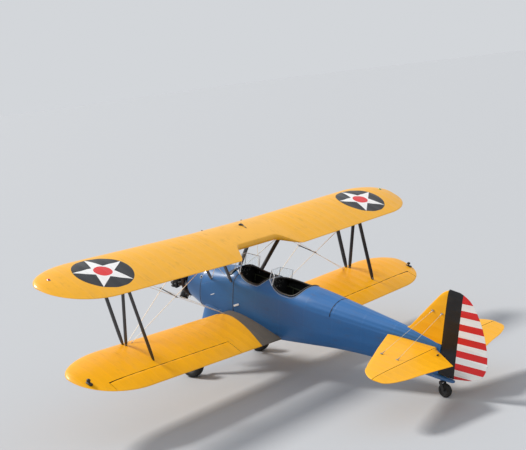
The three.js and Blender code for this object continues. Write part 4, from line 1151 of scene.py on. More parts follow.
# Name: colour, or the name of a colour setting, roughness, then what differs from the plain finish
PLAIN = {
    "strut black": ((0.012, 0.012, 0.014), 0.35, dict(coat=0.3, chips=0.4, under=(0.3, 0.3, 0.3))),
    "tail wire": ((0.5, 0.44, 0.3), 0.45, dict(grime=0.15)),
    "wire steel": ((0.84, 0.82, 0.72), 0.35, dict(grime=0.15, coat=0.3)),
    # Hinge coves: dark brown as painted shade in the gap behind the fixed surface
    "hinge hollow": ((0.03, 0.014, 0.004), 0.7, dict(grime=0.3)),
    "panel seam": ((0.006, 0.016, 0.04), 0.55, dict(grime=0.2)),
    "rim strip": ((0.34, 0.39, 0.46), 0.35, dict(grime=0.4)),
    "screen frame": ((0.78, 0.81, 0.84), 0.35, dict(grime=0.2)),
    "fitting steel": ((0.33, 0.34, 0.35), 0.42, dict(metallic=1.0, grime=0.6)),
    "engine black": ((0.016, 0.016, 0.017), 0.42, dict(grime=0.5, chips=0.5, under=(0.25, 0.24, 0.22))),
    "case grey": ((0.17, 0.18, 0.19), 0.45, dict(grime=0.7)),
    "fin metal": ((0.05, 0.05, 0.052), 0.45, dict(metallic=0.6, grime=0.6)),
    "bright alloy": ((0.62, 0.63, 0.65), 0.28, dict(metallic=1.0, grime=0.35)),
    "lead braid": ((0.32, 0.27, 0.2), 0.5, dict(metallic=0.7, bump=0.001, bump_scale=400.0)),
    "exhaust": ((0.075, 0.052, 0.04), 0.55, dict(metallic=0.6, tone=0.35, tone_scale=6.0, grime=0.6)),
    # A near-black plug as the painted shade inside a hole
    "dark hollow": ((0.004, 0.004, 0.004), 0.8, dict(grime=0.0)),
    "blade alloy": ((0.66, 0.67, 0.69), 0.22, dict(metallic=1.0, grime=0.3, bump=0.0001)),
    "blade back": ((0.02, 0.02, 0.02), 0.6, dict(chips=0.6, under=(0.5, 0.5, 0.5))),
    "blade tip": ((0.8, 0.5, 0.03), 0.4, dict(chips=0.3)),
    "tyre rubber": (
        (0.013, 0.013, 0.013), 0.72,
        dict(grime=0.0, tone=0.25, tone_scale=9.0, bump=0.0007, bump_scale=160.0)),
    "wheel grey": ((0.55, 0.57, 0.59), 0.38, dict(coat=0.2, grime=0.5)),
    "leather": (
        (0.018, 0.014, 0.011), 0.5,
        dict(bump=0.0012, bump_scale=220.0, tone=0.2, chips=0.3, under=(0.09, 0.06, 0.04))),
    "seat green": ((0.07, 0.085, 0.05), 0.55, dict(chips=0.5)),
    "board": ((0.16, 0.09, 0.045), 0.5, dict(tone=0.25, tone_scale=14.0, grime=0.6)),
    # Near black as the painted shade inside the cabin and the cowl
    "inside dark": ((0.018, 0.02, 0.018), 0.65, dict()),
    "panel black": ((0.01, 0.01, 0.011), 0.6, dict(chips=0.2)),
    "dial face": ((0.006, 0.006, 0.006), 0.3, dict(grime=0.1)),
    "dial mark": ((0.75, 0.75, 0.68), 0.6, dict(grime=0.0)),
    "frame alloy": ((0.03, 0.031, 0.034), 0.4, dict(chips=0.5, under=(0.4, 0.4, 0.4))),
    "brass": ((0.55, 0.37, 0.14), 0.35, dict(metallic=1.0, grime=0.4)),
    "lamp white": ((0.82, 0.83, 0.8), 0.12, dict(coat=0.8, grime=0.1)),
    "lamp red": ((0.55, 0.02, 0.015), 0.12, dict(coat=0.8, grime=0.1)),
    "lamp green": ((0.02, 0.36, 0.1), 0.12, dict(coat=0.8, grime=0.1)),
    "webbing": ((0.2, 0.19, 0.13), 0.85, dict(bump=0.0009, bump_scale=500.0)),
    "fuselage blue": ("fuselage", 0.3, dict(coat=0.35, grime=0.45, chips=0.15, under=(0.35, 0.36, 0.38))),
    "wing yellow": ("wing", 0.34, dict(coat=0.3, grime=0.35)),
}

# Name: what makes it, and with which values
CLOTHS = {
    "upper wing cloth": (wing_cloth, dict(wing=UPPER, first=UPPER_FIRST_RIB, roundel=UPPER_ROUNDEL)),
    "lower wing cloth": (
        wing_cloth, dict(wing=LOWER, first=LOWER_FIRST_RIB, roundel=LOWER_ROUNDEL, walkway=True)),
    "tailplane cloth": (tail_cloth, dict()),
    "fin cloth": (tail_cloth, dict(upright=True)),
    "rudder cloth": (tail_cloth, dict(upright=True, stripes=True)),
    "fuselage cloth": (fuselage_cloth, dict()),
    "glass": (clear_glass, dict()),
}


def material(name):
    """A finish by its name, built when it is first wanted."""
    made = bpy.data.materials.get(name)
    if made:
        return made
    if name in CLOTHS:
        build, values = CLOTHS[name]
        return build(name, **values)
    colour, roughness, rest = PLAIN[name]
    if isinstance(colour, str):
        colour = getattr(colours(), colour)
    return finish(name, colour, roughness, **rest)


# Wings

def upper_wing():
    piece("centre_section", [(centre_panel(), "wing yellow")], "airframe", "upper_wing_center",
          slot="wing_fabric")
    rows = span_rows(UPPER, CENTRE_HALF, UPPER["half"])
    panel = wing_panel(UPPER, UPPER_FIRST_RIB, rows)
    sided(("upper_wing_cover_*", [(panel, "upper wing cloth")], "airframe", "upper_wing_*", "wing_fabric"))


def lower_wing():
    inner, outer, gap = (AILERON[k] for k in ("inner", "outer", "gap"))
    rows = span_rows(LOWER, LOWER_ROOT, LOWER["half"])
    rows = np.unique(np.concatenate([rows, [inner - gap, outer + gap]]).round(6))
    hollow, panel = wing_panel(LOWER, LOWER_FIRST_RIB, rows, aileron=True)
    between = rows[(rows > inner) & (rows < outer)]
    aileron = aileron_panel(np.concatenate([[inner], between, [outer]]), LOWER_FIRST_RIB)
    # The aileron's cove in the lower wing is painted dark as shade
    sided(
        ("lower_wing_cover_*", [(panel, "lower wing cloth"), (hollow, "hinge hollow")],
         "airframe", "lower_wing_*", "wing_fabric"),
        ("aileron_cover_*", [(aileron, "lower wing cloth")], "aileron_*", "aileron_*", "wing_fabric"))


# Tail

def spaced(start, end, step, tip):
    """Even places to the rounded tip, and closer ones in it."""
    straight = np.arange(start, end - tip, step)
    return np.concatenate([straight, end - tip * (1 - np.sin(np.linspace(0, np.pi / 2, 26)))])


def tail():
    last = TAILPLANE[-1, 0] - 0.0005
    hollow, fore = fore_shapes(lying(fore_surface(TAILPLANE, spaced(0.02, last, 0.03, 0.35), elevator_hinge)))
    rows = spaced(ELEVATOR_ROOT, last, 0.02, 0.35)
    aft = lofted(lying(aft_surface(TAILPLANE, rows, elevator_hinge, elevator_end)))
    tube = pipe([(0.0, *ELEVATOR_HINGE), (ELEVATOR_ROOT + 0.02, *ELEVATOR_HINGE)], 0.019, 16)
    # The stabilizer's hinge hollow is painted dark as shade
    sided(
        ("stabilizer_cover_*", [(fore, "tailplane cloth"), (hollow, "hinge hollow")],
         "airframe", "stabilizer_*", "wing_fabric"),
        ("elevator_cover_*", [(aft, "tailplane cloth"), (tube, "fitting steel")],
         "elevators", "elevator_*", "wing_fabric"))
    top = FIN[-1, 0] - 0.0005
    heights = spaced(0.31, top, 0.025, 0.3)
    behind, upright = fore_shapes(standing(fore_surface(FIN, heights, rudder_hinge)))
    # The fin's hinge hollow is painted dark as shade
    piece("fin_cover", [(upright, "fin cloth"), (behind, "hinge hollow")], "airframe", "fin",
          slot="wing_fabric")
    foot = RUDDER["bottom"] + 0.3 * (1 - np.cos(np.linspace(0, np.pi / 2, 18)))[:-1]
    heights = np.concatenate([foot, spaced(0.05, top, 0.025, 0.3)])
    striped = lofted(standing(aft_surface(FIN, heights, rudder_hinge)))
    piece("rudder_cover", [(striped, "rudder cloth")], "rudder", "rudder", slot="rudder_fabric")


# Fuselage

def around(upper=96, lower=56):
    """Angles round a section, closer over the deck than underneath."""
    return np.concatenate([
        np.linspace(0, np.pi, upper, endpoint=False), np.linspace(np.pi, 2 * np.pi, lower, endpoint=False)])


def cabin_skin():
    """The cabin's outer skin, with its grid drawn to the edges of the cockpit openings."""
    rows = np.concatenate([
        np.linspace(NOSE_END, 0.66, 24)[:-1], np.linspace(0.66, 2.56, 150), np.linspace(2.56, SPLIT, 8)[1:]])
    y, turn = np.meshgrid(rows, around(), indexing="ij")
    points = body_points(y, turn, fabric_sag(y, turn))
    keep = np.ones(points.shape[:2], bool)
    for cockpit in COCKPITS.values():
        widest = cockpit["widest"]
        reach, power = opening_reach(cockpit, points[..., 1] > widest)
        x, along = points[..., 0] / cockpit["half"], (points[..., 1] - widest) / reach
        away = (np.abs(x) ** power + np.abs(along) ** power) ** (1 / power)
        inside = (away < 1) & (np.sin(turn) > 0.02)
        near = inside & (away > 0.92)
        scale = np.where(near, 1 / np.maximum(away, 1e-3), 1.0)
        points[..., 0] = np.where(near, points[..., 0] * scale, points[..., 0])
        points[..., 1] = np.where(near, widest + along * reach * scale, points[..., 1])
        points[..., 2] = np.where(near, deck_height(points[..., 0], points[..., 1]), points[..., 2])
        keep &= ~(inside & ~near)
    whole = grid(points, wrap_columns=True)
    faces = whole.faces[0]
    stays = keep.reshape(-1)[faces].all(1)
    flat = np.linalg.norm(np.cross(
        whole.points[faces[:, 2]] - whole.points[faces[:, 0]],
        whole.points[faces[:, 3]] - whole.points[faces[:, 1]]), axis=1) < 1e-7
    return Shape(whole.points, faces[stays & ~flat])


def ring_band(y, width, proud, turns=None):
    """A flat band round the fuselage, or round a part of it, that stands a little proud of the skin."""
    closed = turns is None
    turns = around(72, 48) if closed else turns
    profile = [(-width / 2, 0.003), (-width / 2, -proud), (width / 2, -proud), (width / 2, 0.003)]
    rows = np.stack([body_points(np.full_like(turns, y + dy), turns, inset) for dy, inset in profile])
    if closed:
        return grid(rows, wrap_rows=True, wrap_columns=True).outward()
    return lofted(np.swapaxes(rows, 0, 1))


def seam_strip(turn, start, end, width, proud, count=40):
    """A strip that runs lengthwise on the fuselage skin at an angle round the section."""
    y = np.linspace(start, end, count)
    half = body_rows(y)[0]
    spread = width / 2 / half
    profile = [(-1, 0.003), (-1, -proud), (1, -proud), (1, 0.003)]
    rows = np.stack([body_points(y, turn + s * spread, inset) for s, inset in profile], 1)
    return lofted(rows)


def skin_heads(y, turn, radius=0.0035, height=0.0016):
    """Small screw heads on the fuselage skin."""
    y, turn = (np.ravel(a).astype(float) for a in np.broadcast_arrays(y, turn))
    here = body_points(y, turn)
    ahead = body_points(y + 0.002, turn) - here
    beside = body_points(y, turn + 0.002) - here
    normals = np.cross(beside, ahead)
    outwards = here - np.stack([0 * y, y, body_rows(y)[3]], -1)
    normals *= np.sign(np.einsum("ij,ij->i", normals, outwards))[:, None]
    return copies(dome(radius, height, 6), here, facing(normals, (0, 1, 0)))


def fuselage():
    skin = cabin_skin()
    made = piece("cabin_skin", [(skin, "fuselage cloth")], "airframe", "fuselage_front",
                 slot="fuselage_paint")
    # The skin's inside wall is painted near black as the shade seen in the cockpits
    made.data.materials.append(material("inside dark"))
    wall = made.modifiers.new("wall", "SOLIDIFY")
    wall.thickness = 0.006
    wall.offset = -1.0
    wall.material_offset = 1
    wall.material_offset_rim = 0
    sharpen_border(made.data)
    y, turn = np.meshgrid(np.linspace(SPLIT, TAIL_END, 90), around(), indexing="ij")
    rear = lofted(body_points(y, turn, fabric_sag(y, turn)))
    piece("tail_cone_cover", [(rear, "fuselage cloth")], "airframe", "fuselage_rear", slot="fuselage_paint")
    # Near-black bulkheads close the fuselage as painted shade
    plates = total([plate(y0) for y0 in (SPLIT - 0.03, NOSE_END + 0.02)])
    piece("bulkheads", [(plates, "inside dark")], "airframe")


def sharpen_border(mesh):
    """Marks a sheet's outer edges as sharp, so that its thickness isn't shaded into its faces."""
    used = np.empty(len(mesh.loops), np.int32)
    mesh.loops.foreach_get("edge_index", used)
    sharp = np.empty(len(mesh.edges), bool)
    mesh.edges.foreach_get("use_edge_sharp", sharp)
    sharp |= np.bincount(used, minlength=len(mesh.edges)) == 1
    mesh.edges.foreach_set("use_edge_sharp", sharp)


def plate(y, thick=0.006, inset=0.0065):
    """A flat bulkhead across the fuselage."""
    turns = around(72, 48)
    rows = np.stack([body_points(np.full_like(turns, y + d), turns, inset) for d in (0.0, thick)])
    return lofted(rows)


def cowl_ray(share, turn):
    """The cowl between the round front edge and the firewall, along rays from the thrust line."""
    rear = body_points(np.full_like(turn, NOSE_END), turn)
    angle = np.arctan2(rear[..., 2] - THRUST, rear[..., 0])
    far = np.hypot(rear[..., 0], rear[..., 2] - THRUST)
    rounded = COWL_RADIUS - 0.008 * (1 - smooth(0.0, 0.04, share))
    radius = rounded + (far - COWL_RADIUS) * np.clip((share - 0.04) / 0.96, 0, 1)
    y = COWL_FRONT + share * (NOSE_END - COWL_FRONT)
    return np.stack([radius * np.cos(angle), y, THRUST + radius * np.sin(angle)], -1)


def cowl():
    shares = np.concatenate([np.linspace(0, 0.04, 6)[:-1], np.linspace(0.04, 1, 30)])
    share, turn = np.meshgrid(shares, around(72, 48), indexing="ij")
    outer = cowl_ray(share, turn)
    rim = outer[0]
    centre = np.array([0, COWL_FRONT, THRUST])
    # The sheet turns in at the front, its well painted near black as shade: share towards the axis, and depth
    well = [(1.0, 0.13), (0.03, 0.13), (0.022, 0.012), (0.012, 0.002)]
    lip = np.stack([centre + (rim - centre) * (1 - k) + [0, d, 0] for k, d in well])
    shape = grid(np.concatenate([lip[2:], outer]), wrap_columns=True)
    inside = grid(lip[:3], wrap_columns=True)
    back = outer[-1:]
    closing = grid(np.concatenate([back, centre + (back - centre) * AFT]), wrap_columns=True)
    bands = total([cowl_band(s) for s in (0.05, 0.965)])
    # The lip's inside and the plate at its back carry the well's painted shade
    piece("cowl_cover", [
        (shape, "fuselage blue"), (closing + inside, "inside dark"), (bands, "fuselage blue")],
        "airframe", "accessory_cowl", slot="fuselage_paint")


def cowl_band(share, width=0.028, proud=0.0018):
    turns = around(72, 48)
    length = NOSE_END - COWL_FRONT
    rows = []
    for ds, out in [(-1, -0.003), (-1, proud), (1, proud), (1, -0.003)]:
        row = cowl_ray(np.full_like(turns, share + ds * width / 2 / length), turns)
        away = row - [0, 0, THRUST]
        away[:, 1] = 0
        rows.append(row + unit(away) * out)
    return grid(np.stack(rows), wrap_rows=True, wrap_columns=True).outward()


def panel_work():
    """Bands, strips and screws on the sheet-metal nose and along the fabric."""
    deck = np.radians(np.linspace(4, 176, 80))
    below_cockpit = np.radians(np.linspace(125, 415, 140))
    bands = ring_band(NOSE_END + 0.012, 0.05, 0.0016) + ring_band(METAL_END, 0.05, 0.0016, below_cockpit)
    seams = total([
        ring_band(NOSE_END + 0.002, 0.016, 0.0026), ring_band(METAL_END + 0.004, 0.02, 0.0026, below_cockpit),
        ring_band(3.32, 0.014, 0.0014, deck)])
    strips = total([
        seam_strip(turn, NOSE_END + 0.03, METAL_END - 0.015, 0.02, 0.0014) for turn in STRIP_TURNS])
    turns = np.linspace(0, 2 * np.pi, 73)[:-1]
    heads = skin_heads(NOSE_END + 0.016, turns) + skin_heads(METAL_END - 0.012, below_cockpit[::2])
    rows_of_heads = skin_heads(np.linspace(0.0, 0.8, 17)[None], STRIP_TURNS[:, None])
    piece("panel_strips", [
        (bands, "fuselage blue"), (strips, "fuselage blue"), (seams, "panel seam")], "airframe")
    piece("panel_screws", [(heads + rows_of_heads, "fitting steel")], "airframe")


# Cockpits

def rim_path(which, grow, count):
    """A line on the deck round a cockpit's edge."""
    x, y = opening(COCKPITS[which], round_turns(count), grow)
    return np.stack([x, y, deck_height(x, y) + 0.001], -1)


def coaming(which):
    """A padded roll on the cockpit's edge, gathered where it is laced down."""
    path = rim_path(which, 0.002, 240)
    path = np.concatenate([path, path[:1]])
    length = np.concatenate([[0.0], np.cumsum(np.linalg.norm(np.diff(path, axis=0), axis=1))])
    laces = max(8, round(length[-1] / 0.055))
    steps = np.linspace(0, length[-1], 12 * laces, endpoint=False)
    even = np.stack([np.interp(steps, length, path[:, k]) for k in range(3)], -1)
    phase = 2 * np.pi * laces * np.arange(len(even)) / len(even)
    fat = sizes().coaming * (0.95 + 0.08 * np.abs(np.sin(phase / 2)))
    roll = swept(even, oval(14, 1.0, 0.95, 2.3), closed=True, sizes=fat)
    made = piece(
        f"coaming_pad_{which}", [(roll, "leather")], "airframe", f"coaming_{which}",
        slot="coaming_leather", sharp=80)


def coaming_trim(which):
    """A thin bright strip on the deck round the outside of the padded roll."""
    strip = swept(rim_path(which, 0.026, 200), oval(8, 0.007, 0.004, 4.0), closed=True)
    piece(f"coaming_trim_{which}", [(strip, "rim strip")], "airframe")


HOOD = dict(start=0.6, end=0.725, low=38, high=142, thin=0.004, thick=0.03)


def panel_hood():
    """A black leather hood on the deck over the front panel, thickest at its aft edge."""
    start, end, low, high, thin, thick = HOOD.values()
    y, turn = np.meshgrid(np.linspace(start, end, 14), np.radians(np.linspace(low, high, 49)), indexing="ij")
    across = np.sin(np.pi * (np.degrees(turn) - low) / (high - low))
    proud = thin + thick * smooth(start, end - 0.005, y) * across ** 0.5
    outer = body_points(y, turn, -proud)
    inner = body_points(y, turn, 0.002)
    piece("panel_hood", [(lofted(np.concatenate([outer, inner[:, ::-1]], 1)), "leather")], "airframe")


SCREENS = {
    "front": dict(middle=(0.15, 0.59), side=(0.292, 0.86), rise=0.29, lean=0.06),
    "rear": dict(middle=(0.14, 1.535), side=(0.3, 1.745), rise=0.215, lean=0.08),
}
SCREEN_FOOT = 0.06             # height inside the fuselage from which the panes lean back


def screen_corners(screen):
    """Foot and top of each upright of a three-pane windscreen, from starboard to port."""
    (mx, my), (sx, sy) = screen["middle"], screen["side"]
    base = np.array([(x, y, SCREEN_FOOT) for x, y in [(-sx, sy), (-mx, my), (mx, my), (sx, sy)]])
    deck = deck_top(my)
    drop = np.array([0.028, 0.0, 0.0, 0.028])
    high = np.stack([base[:, 0] * 0.9, base[:, 1] + screen["lean"], deck + screen["rise"] - drop], -1)
    low = base
    for _ in range(4):
        share = (deck_height(low[:, 0], low[:, 1]) - SCREEN_FOOT) / (high[:, 2] - SCREEN_FOOT)
        low = base + share[:, None] * (high - base)
    return low - [0, 0, 0.004], high


PANE_POINTS = 9                # along the foot of a pane, and along its top


def windscreen(which):
    """Three flat panes between uprights, with a rail over them and a foot strip on the deck."""
    low, high = screen_corners(SCREENS[which])
    bar = oval(8, 0.0085, 0.006, 4.0, math.pi / 8)
    bars = [swept([a, b], bar, up=(0, 1, 0.1)) for a, b in zip(low, high)]
    rail = high[[0, 0, 1, 2, 3, 3]]
    rail[[0, -1], 0] += [-0.001, 0.001]
    bars.append(swept(rail, bar))
    feet = []
    panes = []
    n = PANE_POINTS
    share = np.linspace(0, 1, n)[:, None]
    for k in range(3):
        foot = low[k] + share * (low[k + 1] - low[k])
        foot[:, 2] = deck_height(foot[:, 0], foot[:, 1]) + 0.004
        feet.append(swept(foot, oval(8, 0.011, 0.004, 4.0, math.pi / 8)))
        normal = unit(np.cross(high[k] - low[k], low[k + 1] - low[k])) * 0.0015
        top = high[k] + share * (high[k + 1] - high[k])
        rows = np.stack([foot - normal, top - normal, top + normal, foot + normal])
        sheet = grid(rows, wrap_rows=True).outward()
        ends = [[0, n, 2 * n, 3 * n], [4 * n - 1, 3 * n - 1, 2 * n - 1, n - 1]]
        panes.append(Shape(sheet.points, *sheet.faces, ends))
    piece(f"windscreen_frame_{which}", [(total(bars + feet), "screen frame")], "airframe")
    piece(f"windscreen_panes_{which}", [(total(panes), "glass")], "airframe", f"windscreen_{which}",
          slot="screen_glass")


# Dials: x, z above the panel's middle, radius
DIALS = [
    (-0.2, 0.05, 0.042), (-0.1, 0.07, 0.042), (0.0, 0.08, 0.042), (0.1, 0.07, 0.042), (0.2, 0.05, 0.036),
    (-0.15, -0.04, 0.03), (-0.05, -0.03, 0.03), (0.05, -0.03, 0.03), (0.15, -0.04, 0.03)]


def instruments(which):
    """Round dials for the black panel, each with a rim, a face, ticks and a needle."""
    y = COCKPITS[which]["front"] - 0.026
    middle = deck_top(y) - 0.15
    rims, faces, marks = [], [], []
    tick = block((0, 0, 0), (0.0011, 0.0007, 0.0035), power=6, count=2)
    angle = np.radians(np.linspace(-130, 130, 11))
    ticks = np.stack([np.sin(angle), 0 * angle, np.cos(angle)], -1)
    aft = np.broadcast_to(AFT, ticks.shape)
    axes = np.stack([np.cross(aft, ticks), aft, ticks], -2)
    for k, (x, z, r) in enumerate(DIALS):
        at = np.array([x, y, middle + z])
        rim = [(0, r), (0.006, r), (0.007, r - 0.003), (0.004, r - 0.006), (0, r - 0.006)]
        rims.append(turned(rim, at, AFT, closed=True))
        faces.append(cylinder(at, AFT, r - 0.004, 0.0025, 32))
        marks.append(copies(tick, at + AFT * 0.003 + ticks * (r - 0.011), axes))
        point, _ = spokes(math.radians(-100 + 47 * k))
        hub = at + AFT * 0.0035
        marks.append(pipe([hub - point * 0.006, hub + point * (r - 0.014)], 0.0009, 6))
    piece(f"dials_{which}", [
        (total(rims), "frame alloy"), (total(faces), "dial face"), (total(marks), "dial mark")], "airframe")


def seat(which):
    """A dished sheet seat pan and back with rolled edges, on four tube legs."""
    back = COCKPITS[which]["back"] - 0.062
    half, depth, pan, top, dish = 0.198, 0.37, -0.205, 0.09, 0.022
    across, along = np.meshgrid(np.linspace(-1, 1, 25), np.linspace(0, 2, 41), indexing="ij")
    flat = np.clip(along, 0, 1)
    up = np.clip(along - 1, 0, 1)
    y = back - depth + depth * flat - 0.02 + 0.03 * up + dish * (1 - across**2) * np.sin(np.pi * up)
    z = pan + (top - pan) * up - dish * (1 - across**2) * np.sin(np.pi * flat) * (up == 0)
    z = z + 0.11 * np.abs(across) ** 6 * np.where(up > 0, 1 - up, 0.4 + 0.6 * flat)
    body = swept_shell(np.stack([half * across, y, z], -1), 0.004)
    places = [(x, back - depth + d) for x in (-0.18, 0.18) for d in (0.03, 0.34)]
    legs = total([pipe([(x, at, FLOOR_Z), (x, at, pan - 0.004)], 0.011, 12) for x, at in places])
    piece(f"seat_shell_{which}", [(body, "seat green"), (legs, "fitting steel")], "airframe", f"seat_{which}",
          slot="seat_metal")


def swept_shell(points, thick):
    """A sheet of points given a thickness along its normals, closed round its edges."""
    across = np.gradient(points, axis=0)
    along = np.gradient(points, axis=1)
    normal = unit(np.cross(across, along)) * thick
    rows, columns = points.shape[:2]
    two = np.concatenate([points + normal / 2, points - normal / 2])
    sheet = grid(points).faces[0]
    count = rows * columns
    rim = np.concatenate([
        np.arange(columns), (np.arange(rows) * columns + columns - 1)[1:],
        (np.arange(columns) + (rows - 1) * columns)[::-1][1:], (np.arange(rows) * columns)[::-1][1:-1]])
    after = np.roll(rim, -1)
    walls = np.stack([rim, rim + count, after + count, after], -1)
    return Shape(two, np.concatenate([sheet, sheet[:, ::-1] + count]), walls).outward()


def controls(which):
    """A stick with its grip, two rudder pedals and a throttle quadrant."""
    front = COCKPITS[which]["front"]
    y = front + 0.24
    run = [(0, y + 0.03, FLOOR_Z + 0.02), (0, y + 0.02, -0.25), (0, y - 0.01, -0.05), (0, y, 0.02)]
    stick = pipe(run, 0.011, 12, 24)
    grip = swept([(0, y, 0.0), (0, y, 0.03), (0, y + 0.004, 0.07), (0, y + 0.01, 0.11)], oval(12, 1, 1),
                 up=AFT, sizes=[0.014, 0.018, 0.016, 0.017])
    folds = [(0, 0.0), (0, 0.06), (0.02, 0.055), (0.03, 0.03), (0.05, 0.02), (0.06, 0.0)]
    boot = turned(folds, (0, y + 0.03, FLOOR_Z), UP, 24)
    pedals = []
    for x in (-0.11, 0.11):
        at = np.array([x, front - 0.02, FLOOR_Z + 0.17])
        pedals.append(block(at, (0.045, 0.012, 0.07), power=6))
        pedals.append(pipe([at + [0, 0, -0.05], (x, at[1], FLOOR_Z + 0.01)], 0.009, 8))
    quadrant = block((0.36, y + 0.02, 0.06), (0.018, 0.075, 0.05), power=5)
    tops = [y + d - 0.02 for d in (0.0, 0.03)]
    levers = total([pipe([(0.345, top + 0.02, 0.08), (0.335, top, 0.15)], 0.005, 8) for top in tops])
    knobs = total([block((0.335, top, 0.158), (0.012, 0.012, 0.014), power=2.2) for top in tops])
    piece(f"controls_{which}", [
        (stick, "fitting steel"), (grip + boot, "tyre rubber"), (total(pedals), "fitting steel"),
        (quadrant, "frame alloy"), (levers, "bright alloy"), (knobs, "lamp red")], "airframe")


def inner_frame():
    """Tubes of the welded frame that show inside the cockpits."""
    tubes = []
    for x in (-PANEL_FRAME_X, PANEL_FRAME_X):
        for z in (0.09, -0.44):
            tubes.append(pipe([(x, 0.6, z), (x, 2.5, z + 0.02)], 0.012, 10))
        for y in (0.72, 1.25, 1.78, 2.3, 2.49):
            tubes.append(pipe([(x, y, -0.44), (x, y, 0.1)], 0.011, 10))
        for y0, y1 in [(0.72, 1.25), (1.78, 1.25), (1.78, 2.3)]:
            tubes.append(pipe([(x, y0, -0.43), (x, y1, 0.09)], 0.009, 8))
    piece("frame_tubes", [(total(tubes), "seat green")], "airframe")


# Engine

def around_engine(angle, radius, y):
    """A point at an angle round the thrust line, from straight up, and at a radius."""
    return np.array([radius * math.sin(angle), y, THRUST + radius * math.cos(angle)])


def cylinder_parts(angle):
    """One finned cylinder: its head, rocker boxes, pushrod tubes, plugs, leads and intake pipe."""
    plane = ENGINE["plane"]
    out, side = spokes(angle)
    axes = np.stack([side, AFT, out])

    def at(r, y=plane, s=0.0):
        return around_engine(angle, r, y) + side * s

    barrel = turned(
        [(0, 0), (0, 0.088), (0.02, 0.088), (0.022, 0.066), (0.225, 0.066), (0.225, 0)], at(0.215), out)
    turns = np.linspace(0, 2 * np.pi, 12, endpoint=False)
    spots = [at(0.24) + 0.078 * (math.cos(t) * side + math.sin(t) * AFT) for t in turns]
    bolts = copies(dome(0.008, 0.012, 6), spots, axes)
    fin = [(0, 0.06), (0, 0.079), (0.0024, 0.079), (0.0024, 0.06)]
    fins = [turned(fin, at(0.25 + 0.0095 * k), out, 28) for k in range(18)]
    plates = []
    for k in range(10):
        r = 0.428 + 0.0095 * k
        outline_ = oval(36, 0.083 - 0.0022 * max(0, k - 5), 0.082, 3.2)
        plates.append(lofted(np.stack([
            at(r + d) + outline_[:, :1] * side + outline_[:, 1:] * AFT for d in (0, 0.0028)])))
    core = block(at(0.47), (0.062, 0.066, 0.052), axes, power=4)
    rockers, tubes, plugs, leads = [], [], [], []
    for s in (-1, 1):
        rockers.append(block(at(0.522, plane - 0.045, s * 0.036), (0.024, 0.042, 0.03), axes, power=4))
        rockers.append(block(at(0.522, plane + 0.05, s * 0.036), (0.02, 0.03, 0.024), axes, power=4))
        tubes.append(pipe([at(0.2, plane - 0.084, s * 0.028), at(0.5, plane - 0.074, s * 0.034)], 0.0095, 12))
    plug = [(0, 0), (0, 0.012), (0.014, 0.012), (0.014, 0.008), (0.04, 0.007), (0.04, 0)]
    for dy in (-0.088, 0.09):
        foot = at(0.47, plane + dy * 0.8)
        tip = at(0.485, plane + dy * 1.35)
        plugs.append(turned(plug, foot, tip - foot, 12))
        run = [tip, at(0.46, plane + dy * 1.9), at(0.36, plane + 0.1, 0.04), at(0.268, plane + 0.075, 0.05)]
        leads.append(pipe(run, 0.0045, 8, 24))
    run = [
        at(0.2, plane + 0.1, -0.06), at(0.3, plane + 0.115, -0.066), at(0.42, plane + 0.11, -0.05),
        at(0.46, plane + 0.07, -0.03)]
    intake = pipe(run, 0.02, 14, 22)
    flange = cylinder(at(0.452, plane + 0.085, -0.035), (0, -1, 0.001), 0.034, 0.01, 20)
    return dict(
        metal=[barrel, core, *fins, *plates], cover=rockers, tube=tubes, plug=plugs + [bolts], lead=leads,
        pipe=[intake, flange])


def engine():
    """Seven cylinders round a case whose profile is turned about the thrust line."""
    plane, nose, back, case, shaft, count = (
        ENGINE[k] for k in ("plane", "nose", "back", "case", "shaft", "cylinders"))
    # Y and radius, from the back of the case to its nose
    profile = [
        (back, 0), (back, 0.262), (back - 0.012, 0.265), (-0.64, 0.265), (-0.645, 0.255), (-0.685, 0.212),
        (-0.69, 0.205), (plane + 0.072, case - 0.006), (plane + 0.066, case), (plane - 0.056, case),
        (plane - 0.064, case - 0.008), (-0.876, 0.2), (-0.892, 0.187), (-0.91, 0.16), (-0.935, 0.122),
        (-0.96, 0.1), (nose + 0.014, 0.082), (nose, 0.074), (nose, shaft), (-1.078, shaft), (-1.078, 0)]
    body = turned([(back - y, r) for y, r in profile], (0, back, THRUST), -AFT, 72)
    parts = [cylinder_parts(2 * math.pi * k / count) for k in range(count)]
    angles = np.linspace(0, 2 * np.pi, 21, endpoint=False)
    axes = np.array([[1, 0, 0], [0, 0, 1], [0, -1, 0]])
    studs = total([
        copies(dome(head, 0.007, 6), [around_engine(a, r, y) for a in some], axes)
        for head, r, y, some in [(0.007, 0.205, -0.874, angles), (0.006, 0.094, -0.966, angles[::2])]])
    turns = np.linspace(0, 2 * np.pi, 12, endpoint=False)
    harness = turned(
        [(0.075 + 0.013 * math.cos(t), 0.262 + 0.013 * math.sin(t)) for t in turns],
        (0, plane, THRUST), AFT, 72, closed=True)
    sump = block((0, plane + 0.03, THRUST - 0.262), (0.07, 0.06, 0.05), power=4)

    def gather(key):
        return total([shape for part in parts for shape in part[key]])

    piece("engine_cylinders", [
        (gather("metal"), "fin metal"), (gather("cover"), "engine black"), (gather("tube"), "engine black"),
        (gather("plug"), "bright alloy"), (gather("lead"), "lead braid")],
        "airframe", "engine", slot="engine_metal")
    piece("engine_case", [
        (body, "case grey"), (studs, "bright alloy"), (harness, "bright alloy"), (sump, "case grey"),
        (gather("pipe"), "engine black")], "airframe", slot="engine_metal")


